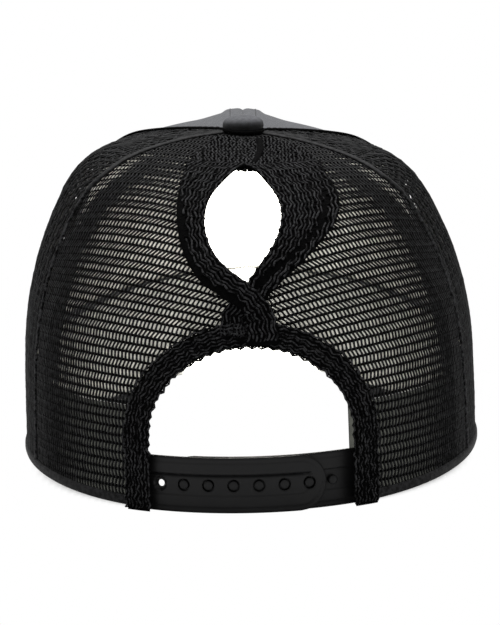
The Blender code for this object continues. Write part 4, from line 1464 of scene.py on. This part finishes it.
class BuildSeams(bpy.types.Operator):
    """Roll the seams between the panels, the turned-in rim and the tapes inside."""

    bl_idname = "trucker_cap.seams"
    bl_label = "Seams"

    def execute(self, context):
        for side, word in SIDES:
            add_seam(f"side_seam_low_{word}", side, side_seam, (0.0, 0.7), 0.001, 0.0005,
                     dense_material(context))
            add_seam(f"side_seam_high_{word}", side, side_seam, (0.62, SEAM_TOP), 0.0013, 0.00065,
                     net_material(context))
            add_seam(f"front_seam_{word}", side, front_seam, (0.0, SEAM_TOP), 0.001, 0.0004,
                     backing_and_painted_shade_material(context))
            self.add_tape(context, side, word)
        self.add_rim(context)
        return {"FINISHED"}

    def add_tape(self, context, side, word):
        foot = float(along_at_height(SIDE_SEAM, rim_height(SIDE_SEAM) + SWEATBAND_LIFT
                                     + SWEATBAND_HEIGHT)) + 0.02
        along = np.linspace(foot, HOLE_HEAD, 70)[:, None]
        width = TAPE_FROM_SEAM + TAPE_WIDTH * stops(TAPE_WIDTH, 0.0015, 0.0005)[None, :]
        angle = side * (side_seam(along) - angle_width(width, side * side_seam(along), along))
        middle = crown_layer(angle, along, NET_WALL + GAP + TAPE_WALL / 2)
        tape = cloth_wall(f"tape_{word}", middle, TAPE_WALL, 0.0005, backing_and_painted_shade_material(context))
        present(tape, (f"seam_tape_{word}",))

    def add_rim(self, context):
        start = float(angle_at_x(ARCH_HALF_WIDTH + HEM_WIDTH * 0.6, 0.0))
        for side, word in SIDES:
            angle = side * np.linspace(start, FRONT_SEAM, 110)
            along = along_at_height(angle, rim_height(angle) + 0.0016)
            add_roll(f"rim_fold_{word}", crown_layer(angle, along, 0.0001), 0.0017, 0.0008,
                     net_material(context), crown_normal(angle, along))


class BuildFront(bpy.types.Operator):
    """Cut the cotton front panels, with the pressed centre seam and its topstitching."""

    bl_idname = "trucker_cap.front"
    bl_label = "Front Panels"

    def execute(self, context):
        lines = []
        for side, word in SIDES:
            middle = self.panel(side)
            item = cloth_wall(f"front_cloth_{word}", middle, COTTON_WALL, SOFT_EDGE,
                              cotton_material(context))
            present(item, (f"front_panel_{word}",))
            along = np.linspace(0.01, 0.93, 110)
            near = math.pi - angle_width(0.0056, math.pi, along)
            depth = -0.0009 + 0.0002 * step_up(along, 0.8, 0.9) + front_dip(near, along)
            lines.append(crown_layer(side * near, along, depth))
            near = front_seam(along)
            near = near + angle_width(0.0022, near, along)
            lines.append(crown_layer(side * near, along, -0.0001 + front_dip(near, along)))
        present(stitch_rows("front_stitches", lines, context))
        return {"FINISHED"}

    def panel(self, side):
        """Middle of a front panel's cloth, which is raised over the centre seam's allowance."""
        along = (stops(0.16, CLOTH_PITCH, SOFT_EDGE) * SEAM_TOP)[:, None]
        share = stops(0.09, 0.0012, SOFT_EDGE)[None, :]
        low = front_seam(along)
        low = low + angle_width(0.0004, low, along)
        high = math.pi - angle_width(0.00004, math.pi, along)
        top = step_up(along, 0.8, 0.9)
        angle = side * (low + (high - low) * share)
        flat = crown_layer(angle, along, COTTON_WALL / 2 + front_dip(angle, along))
        from_seam = np.abs(flat[..., 0])
        swell = 0.0002 * top + (0.0009 - 0.0004 * top) * np.clip(from_seam / 0.0016, 0.0, 1.0) ** 0.7
        lift = swell * (1 - step_up(from_seam, 0.0054, 0.0082))
        lift = lift * np.clip((0.97 - along) / 0.05, 0.0, 1.0)
        return flat + crown_normal(angle, along) * lift[..., None]


class BuildLining(bpy.types.Operator):
    """Cut the light lining behind the front panels."""

    bl_idname = "trucker_cap.lining"
    bl_label = "Lining"

    def execute(self, context):
        foot = float(along_at_height(math.pi, rim_height(math.pi) + SWEATBAND_LIFT
                                     + SWEATBAND_HEIGHT)) + 0.0004
        along = np.linspace(foot, BAND_TOP - 0.01, 60)[:, None]
        share = np.linspace(0.0, 1.0, 81)[None, :]
        low = front_seam(along)
        low = low + angle_width(0.0006, low, along)
        angle = low + (2 * math.pi - 2 * low) * share
        depth = UNDER_PANEL + LINING_WALL / 2 + front_dip(angle, along)
        middle = crown_layer(angle, along, depth)
        item = cloth_wall("lining_cloth", middle, LINING_WALL, THIN_EDGE, lining_material(context))
        light_through(item)
        present(item, ("front_lining_left", "front_lining_right"))
        return {"FINISHED"}


class BuildSweatband(bpy.types.Operator):
    """Sew the sweatband inside the rim."""

    bl_idname = "trucker_cap.sweatband"
    bl_label = "Sweatband"

    def execute(self, context):
        right = float(angle_at_x(ARCH_HALF_WIDTH + 0.0016, 0.0))
        left = float(angle_at_x(ARCH_HALF_WIDTH + 0.004, 0.0))
        angle = np.linspace(right, 2 * math.pi - left, 260)[None, :]
        share = stops(SWEATBAND_HEIGHT, CLOTH_PITCH, THIN_EDGE)[:, None]
        foot = rim_height(angle) + SWEATBAND_LIFT
        from_front = np.abs(angle - math.pi)
        drop = 0.007 * step_up(-from_front, -math.radians(64.0), -math.radians(38.0))
        height = foot + SWEATBAND_HEIGHT * share - drop * (1 - share)
        along = along_at_height(angle, np.maximum(height, rim_height(angle)))
        depth = self.depth(angle) + SWEATBAND_WALL / 2
        middle = crown_layer(angle, along, np.broadcast_to(depth, along.shape))
        middle[..., 2] += np.minimum(height - rim_height(angle), 0.0)
        item = cloth_wall("sweat_cloth", middle, SWEATBAND_WALL, THIN_EDGE,
                          sweat_outer_material(context), sweat_inner_material(context))
        faces = item.data.polygons
        front = np.array([face.center[1] > CROWN_CENTRE[1] + 0.05 for face in faces])
        index = np.zeros(len(front), np.int32)
        faces.foreach_get("material_index", index)
        faces.foreach_set("material_index", np.maximum(index, front))
        light_through(item)
        present(item, ("sweatband",))
        turn = angle[0, 3:-3]
        inner = self.depth(turn) + SWEATBAND_WALL + 0.00005
        lines = [crown_layer(turn, along_at_height(turn, foot[0, 3:-3] + height), inner)
                 for height in (0.004, 0.0285)]
        stitches = stitch_rows("sweatband_stitches", lines, context, WIDE_STITCH,
                               sweat_inner_material(context))
        light_through(stitches)
        present(stitches)
        return {"FINISHED"}

    def depth(self, angle):
        """The sweatband lies under the strap's ends at the back, and under the panels elsewhere."""
        from_back = np.abs(np.arctan2(np.sin(angle), np.cos(angle)))
        start = float(rim_angle(ARCH_HALF_WIDTH + STRAP_TAB)) + math.radians(4.0)
        share = step_up(from_back, start, start + math.radians(14.0))
        return SWEATBAND_END_DEPTH + (UNDER_PANEL - SWEATBAND_END_DEPTH) * share


RIM_TURNS = np.radians(np.arange(0.0, 100.0, 0.25))
RIM_WALK = np.concatenate(([0.0], np.cumsum(np.hypot(CROWN_HALF_WIDTH * np.cos(RIM_TURNS[:-1]),
                                                     CROWN_HALF_LENGTH * np.sin(RIM_TURNS[:-1]))
                                            * math.radians(0.25))))


def rim_angle(distance):
    """Angle reached by walking a distance round the rim from the back."""
    distance = np.asarray(distance, float)
    return np.sign(distance) * np.interp(np.abs(distance), RIM_WALK, RIM_TURNS)


def strap_point(distance, height, depth):
    """A point on the upright wall of the strap."""
    angle = rim_angle(distance)
    out = np.stack((CROWN_HALF_LENGTH * np.sin(angle), -CROWN_HALF_WIDTH * np.cos(angle),
                    np.zeros(np.shape(angle))), -1)
    point = crown_point(angle, STRAP_TOP_ALONG)
    point[..., 2] = 0.0
    point = point - unit(out) * np.asarray(depth, float)[..., None]
    point[..., 2] = height
    return point


class BuildStraps(bpy.types.Operator):
    """Mould the two pieces of the snap strap."""

    bl_idname = "trucker_cap.straps"
    bl_label = "Snap Strap"

    def execute(self, context):
        holes = FIRST_HOLE + PEG_PITCH * np.arange(PEG_COUNT)
        pegs = holes + PEG_PITCH
        tab = ARCH_HALF_WIDTH + STRAP_TAB
        outer = self.strap("strap_outer", -tab, holes[-1] + STRAP_END_MARGIN, STRAP_OUTER_DEPTH,
                           holes, context)
        present(outer, ("strap_left",))
        inner = self.strap("strap_base", tab, pegs[0] - STRAP_END_MARGIN, STRAP_INNER_DEPTH,
                           (), context)
        studs = [self.peg(place, context) for place in pegs]
        inner = join_pieces("strap_inner", [inner] + studs)
        present(inner, ("strap_right",))
        return {"FINISHED"}

    def relief(self, distance, height, way, tip, holes):
        """Depth of the moulded face below its flat: bevel, chamfer, lane and countersinks."""
        radius = STRAP_HEIGHT / 2
        cap_x = np.maximum(way * (distance - (tip - way * radius)), 0.0)
        from_axis = np.hypot(cap_x, height - radius)
        from_edge = radius - from_axis
        chamfer = np.where(height < radius, CHAMFER_LOW, CHAMFER_HIGH)
        sink = BEVEL_DEPTH * (1 - np.clip(from_edge / BEVEL_WIDTH, 0.0, 1.0)) ** 2
        sink = sink + chamfer * (1 - step_up(from_edge, *CHAMFER_BETWEEN))
        sink = sink + LANE_DEPTH * step_up(LANE_HALF - from_axis, -0.0002, 0.00025)
        upper = LANE_HALF - (height - radius)
        groove = np.exp(-((upper - 0.0003) / GROOVE_WIDTH) ** 2) * (1 - step_up(cap_x, 0.003, 0.0045))
        sink = sink + (GROOVE_DEPTH if len(holes) else GROOVE_FAINT) * groove
        reach = PEG_RADIUS + HOLE_CLEARANCE
        for hole in holes:
            ring = np.hypot(distance - hole, height - radius)
            sink = sink + COUNTERSINK * (1 - step_up(ring, reach, reach + 0.0003))
        if len(holes):
            ring = np.hypot(distance - holes[0], height - radius)
            sink = sink + OPEN_COUNTERSINK * (1 - step_up(ring, reach - 0.0001, reach + 0.0002))
        return sink

    def strap(self, name, tab, tip, depth, holes, context):
        way = 1.0 if tip > tab else -1.0
        radius = STRAP_HEIGHT / 2
        length = abs(tip - tab) - radius
        columns = np.linspace(0.0, length, int(length / 0.0004) + 1)
        cap = radius * np.sin(np.linspace(0.0, math.pi / 2, 26))[1:]
        rise = np.linspace(0.0, STRAP_HEIGHT, 69)
        height, _ = np.meshgrid(rise, np.concatenate((columns, cap)), indexing="ij")
        chord = np.sqrt(np.maximum(radius ** 2 - (height - radius) ** 2, 0.0))
        straight = tab + way * np.concatenate((columns, np.full(len(cap), length)))[None, :]
        bent = way * np.concatenate((np.zeros(len(columns)), cap / radius))[None, :] * chord
        distance = np.broadcast_to(straight, height.shape) + bent
        cut = np.zeros(height.shape, bool)
        for hole in holes:
            hole_radius = OPEN_HOLE_RADIUS if hole == holes[0] else PEG_RADIUS + HOLE_CLEARANCE
            dx, dz = distance - hole, height - radius
            ring = np.hypot(dx, dz)
            near = np.abs(ring - hole_radius) < SNAP_DISTANCE
            scale = np.where(near, hole_radius / np.maximum(ring, 1e-9), 1.0)
            distance = hole + dx * scale
            height = radius + dz * scale
            cut |= (ring < hole_radius) & ~near
        front = strap_point(distance, height, depth + self.relief(distance, height, way, tip, holes))
        back = strap_point(distance, height, np.full(height.shape, depth + STRAP_WALL))
        return self.shell(name, front, back, cut, plastic_material(context))

    def shell(self, name, front, back, cut, material):
        """Two grids of points as a closed solid, without the squares that touch a cut point."""
        quads = grid_quads(*cut.shape)
        quads = quads[~cut.ravel()[quads].any(1)]
        front, back = front.reshape(-1, 3), back.reshape(-1, 3)
        if faces_inwards(quads, front, (front - CROWN_HEART) * (1.0, 1.0, 0.0)):
            quads = quads[:, ::-1]
        edges = np.stack((quads, np.roll(quads, -1, axis=1)), -1).reshape(-1, 2)
        seen = {tuple(edge) for edge in edges.tolist()}
        total = len(front)
        rim = [(b, a, a + total, b + total) for a, b in seen if (b, a) not in seen]
        faces = quads.tolist() + (quads[:, ::-1] + total).tolist() + rim
        return mesh_piece(name, np.concatenate((front, back)), faces, (material,),
                          merged=TIGHT_MERGE, sharp=True)

    def peg(self, place, context):
        """A round peg with a domed head, standing on the inner piece."""
        height = STRAP_INNER_DEPTH - STRAP_OUTER_DEPTH - PEG_RECESS
        base = strap_point(place, STRAP_HEIGHT / 2, STRAP_INNER_DEPTH)
        out = unit(strap_point(place, STRAP_HEIGHT / 2, 0.0) - base)
        side = unit(np.cross(out, (0.0, 0.0, 1.0)))
        up = np.cross(side, out)
        turns = circle(PEG_SIDES)[:, None]
        radius, lift = np.array(PEG_SECTIONS).T
        middles = base + out * (lift * np.where(lift > 0, height, STRAP_WALL))[:, None]
        spokes = (side * np.cos(turns) + up * np.sin(turns)) * PEG_RADIUS
        rings = middles[:, None] + spokes * radius[:, None, None]
        return mesh_piece("peg", rings, tube_faces(rings, middles), (plastic_material(context),),
                          sharp=True)


class BuildBrim(bpy.types.Operator):
    """Cover the brim and sew its rows of stitches."""

    bl_idname = "trucker_cap.brim"
    bl_label = "Brim"

    def execute(self, context):
        across = (stops(0.15, CLOTH_PITCH, 0.0008) * 2 - 1)[None, :]
        share = stops(BRIM_LENGTH, CLOTH_PITCH, 0.0008)[:, None]
        middle = self.place(across, share)
        normals = grid_normals(middle)
        if np.mean(normals[..., 2]) < 0:
            normals = -normals
        item = cloth_wall("brim_cloth", middle, BRIM_WALL, 0.0009, cotton_material(context),
                          normals=normals)
        present(item, ("brim",))
        lines = []
        across = np.linspace(-0.985, 0.985, 160)
        for k in range(7):
            line = self.place(across, 1.0 - (0.004 + 0.0062 * k) / BRIM_LENGTH)
            lines += [line + (0.0, 0.0, way * (BRIM_WALL / 2 + 0.00002)) for way in (-1.0, 1.0)]
        present(stitch_rows("brim_stitches", lines, context, WIDE_STITCH))
        return {"FINISHED"}

    def place(self, across, share):
        """Middle of the brim's thickness, across it and out from the crown."""
        across, share = np.broadcast_arrays(across, share)
        root_angle = math.pi - across * (math.pi - FRONT_SEAM)
        root = crown_layer(root_angle, 0.0, COTTON_WALL)
        root[..., 2] = rim_height(root_angle) - GAP
        corner = crown_point(FRONT_SEAM, 0.0)
        reach = CROWN_HALF_LENGTH + BRIM_LENGTH - corner[1]
        rise = from_table(BRIM_SECTIONS, BRIM_COLUMNS, "rise", np.abs(across))
        turn = across * math.pi / 2
        edge = np.stack((BRIM_HALF_WIDTH * np.sin(turn),
                         corner[1] + reach * np.maximum(np.cos(turn), 0.0) ** BRIM_FULLNESS,
                         BRIM_WALL + BRIM_RISE * np.maximum(rise, 0.0)), -1)
        point = root + (edge - root) * share[..., None]
        point[..., 2] -= BRIM_WALL / 2
        return point


class BuildButton(bpy.types.Operator):
    """Cover the button on top of the crown."""

    bl_idname = "trucker_cap.button"
    bl_label = "Button"

    def execute(self, context):
        profile = np.array(BUTTON_SECTIONS)
        walk = np.linspace(0.0, len(profile) - 1.0, 30)
        keys = np.arange(len(profile), dtype=float)
        radius = BUTTON_RADIUS * smooth(keys, profile[:, 0], walk)
        rise = BUTTON_HEIGHT * smooth(keys, profile[:, 1], walk)
        turns = circle(BUTTON_SIDES)
        pleat = 1.0 + 0.012 * np.sin(turns * 9) * np.sin(
            math.pi * np.clip(walk / 3.5, 0, 1))[:, None]
        height = rise + BUTTON_LOW.z - CROWN_CENTRE[2]
        points = np.stack((radius[:, None] * np.cos(turns) * pleat,
                           radius[:, None] * np.sin(turns) * pleat,
                           height[:, None].repeat(BUTTON_SIDES, 1)), -1)
        faces = grid_quads(len(walk), BUTTON_SIDES, True).tolist()
        faces.append(list(range(BUTTON_SIDES))[::-1])
        u = np.tile(turns * BUTTON_RADIUS, len(walk))
        v = distances(np.stack((radius, rise), 1)).repeat(BUTTON_SIDES)
        item = mesh_piece("button_cloth", points, faces, (button_material(context),),
                          np.stack((u, v), 1), merged=TIGHT_MERGE)
        present(item, ("button",))
        self.add_foot(context)
        return {"FINISHED"}

    def add_foot(self, context):
        """A dark disc of cloth that closes the gap between the button and the crown; where it reaches past
        the button its black is painted shade round the button's foot.
        """
        turns = np.linspace(0.0, 2 * math.pi, 41)[None, :]
        reach = np.linspace(0.002, 1.0, 12)[:, None] * 1.24 * BUTTON_RADIUS
        along = np.interp(BACK_LENGTH[-1] - reach, BACK_LENGTH, FINE)
        middle = crown_layer(turns, np.broadcast_to(along, (12, 41)), -0.0008)
        wall = cloth_wall("button_foot", middle, 0.0014, 0.0005, backing_and_painted_shade_material(context),
                          ring=True)
        present(wall)


class CapPanel(bpy.types.Panel):
    """Lists the steps that dress the cap."""

    bl_idname = "VIEW3D_PT_trucker_cap"
    bl_label = "Trucker Cap"
    bl_space_type = "VIEW_3D"
    bl_region_type = "UI"
    bl_category = "Trucker Cap"

    def draw(self, context):
        cap = context.scene.trucker_cap
        stage = context.scene.trucker_cap_stage
        for settings in (cap, stage):
            for name in settings.__annotations__:
                self.layout.prop(settings, name)
        for step in STEPS:
            self.layout.operator(step.bl_idname)


STEPS = (BuildStage, BuildNets, BuildBands, BuildHem, BuildSeams, BuildFront, BuildLining,
         BuildSweatband, BuildStraps, BuildBrim, BuildButton)
CLASSES = (CapSettings, StageSettings) + STEPS + (CapPanel,)


def register():
    for item in CLASSES:
        bpy.utils.register_class(item)
    bpy.types.Scene.trucker_cap = bpy.props.PointerProperty(type=CapSettings)
    bpy.types.Scene.trucker_cap_stage = bpy.props.PointerProperty(type=StageSettings)


def unregister():
    del bpy.types.Scene.trucker_cap_stage
    del bpy.types.Scene.trucker_cap
    for item in reversed(CLASSES):
        bpy.utils.unregister_class(item)


def main():
    register()
    steps = bpy.ops.trucker_cap
    steps.stage()
    steps.nets()
    steps.bands()
    steps.hem()
    steps.seams()
    steps.front()
    steps.lining()
    steps.sweatband()
    steps.straps()
    steps.brim()
    steps.button()


if __name__ == "__main__":
    main()
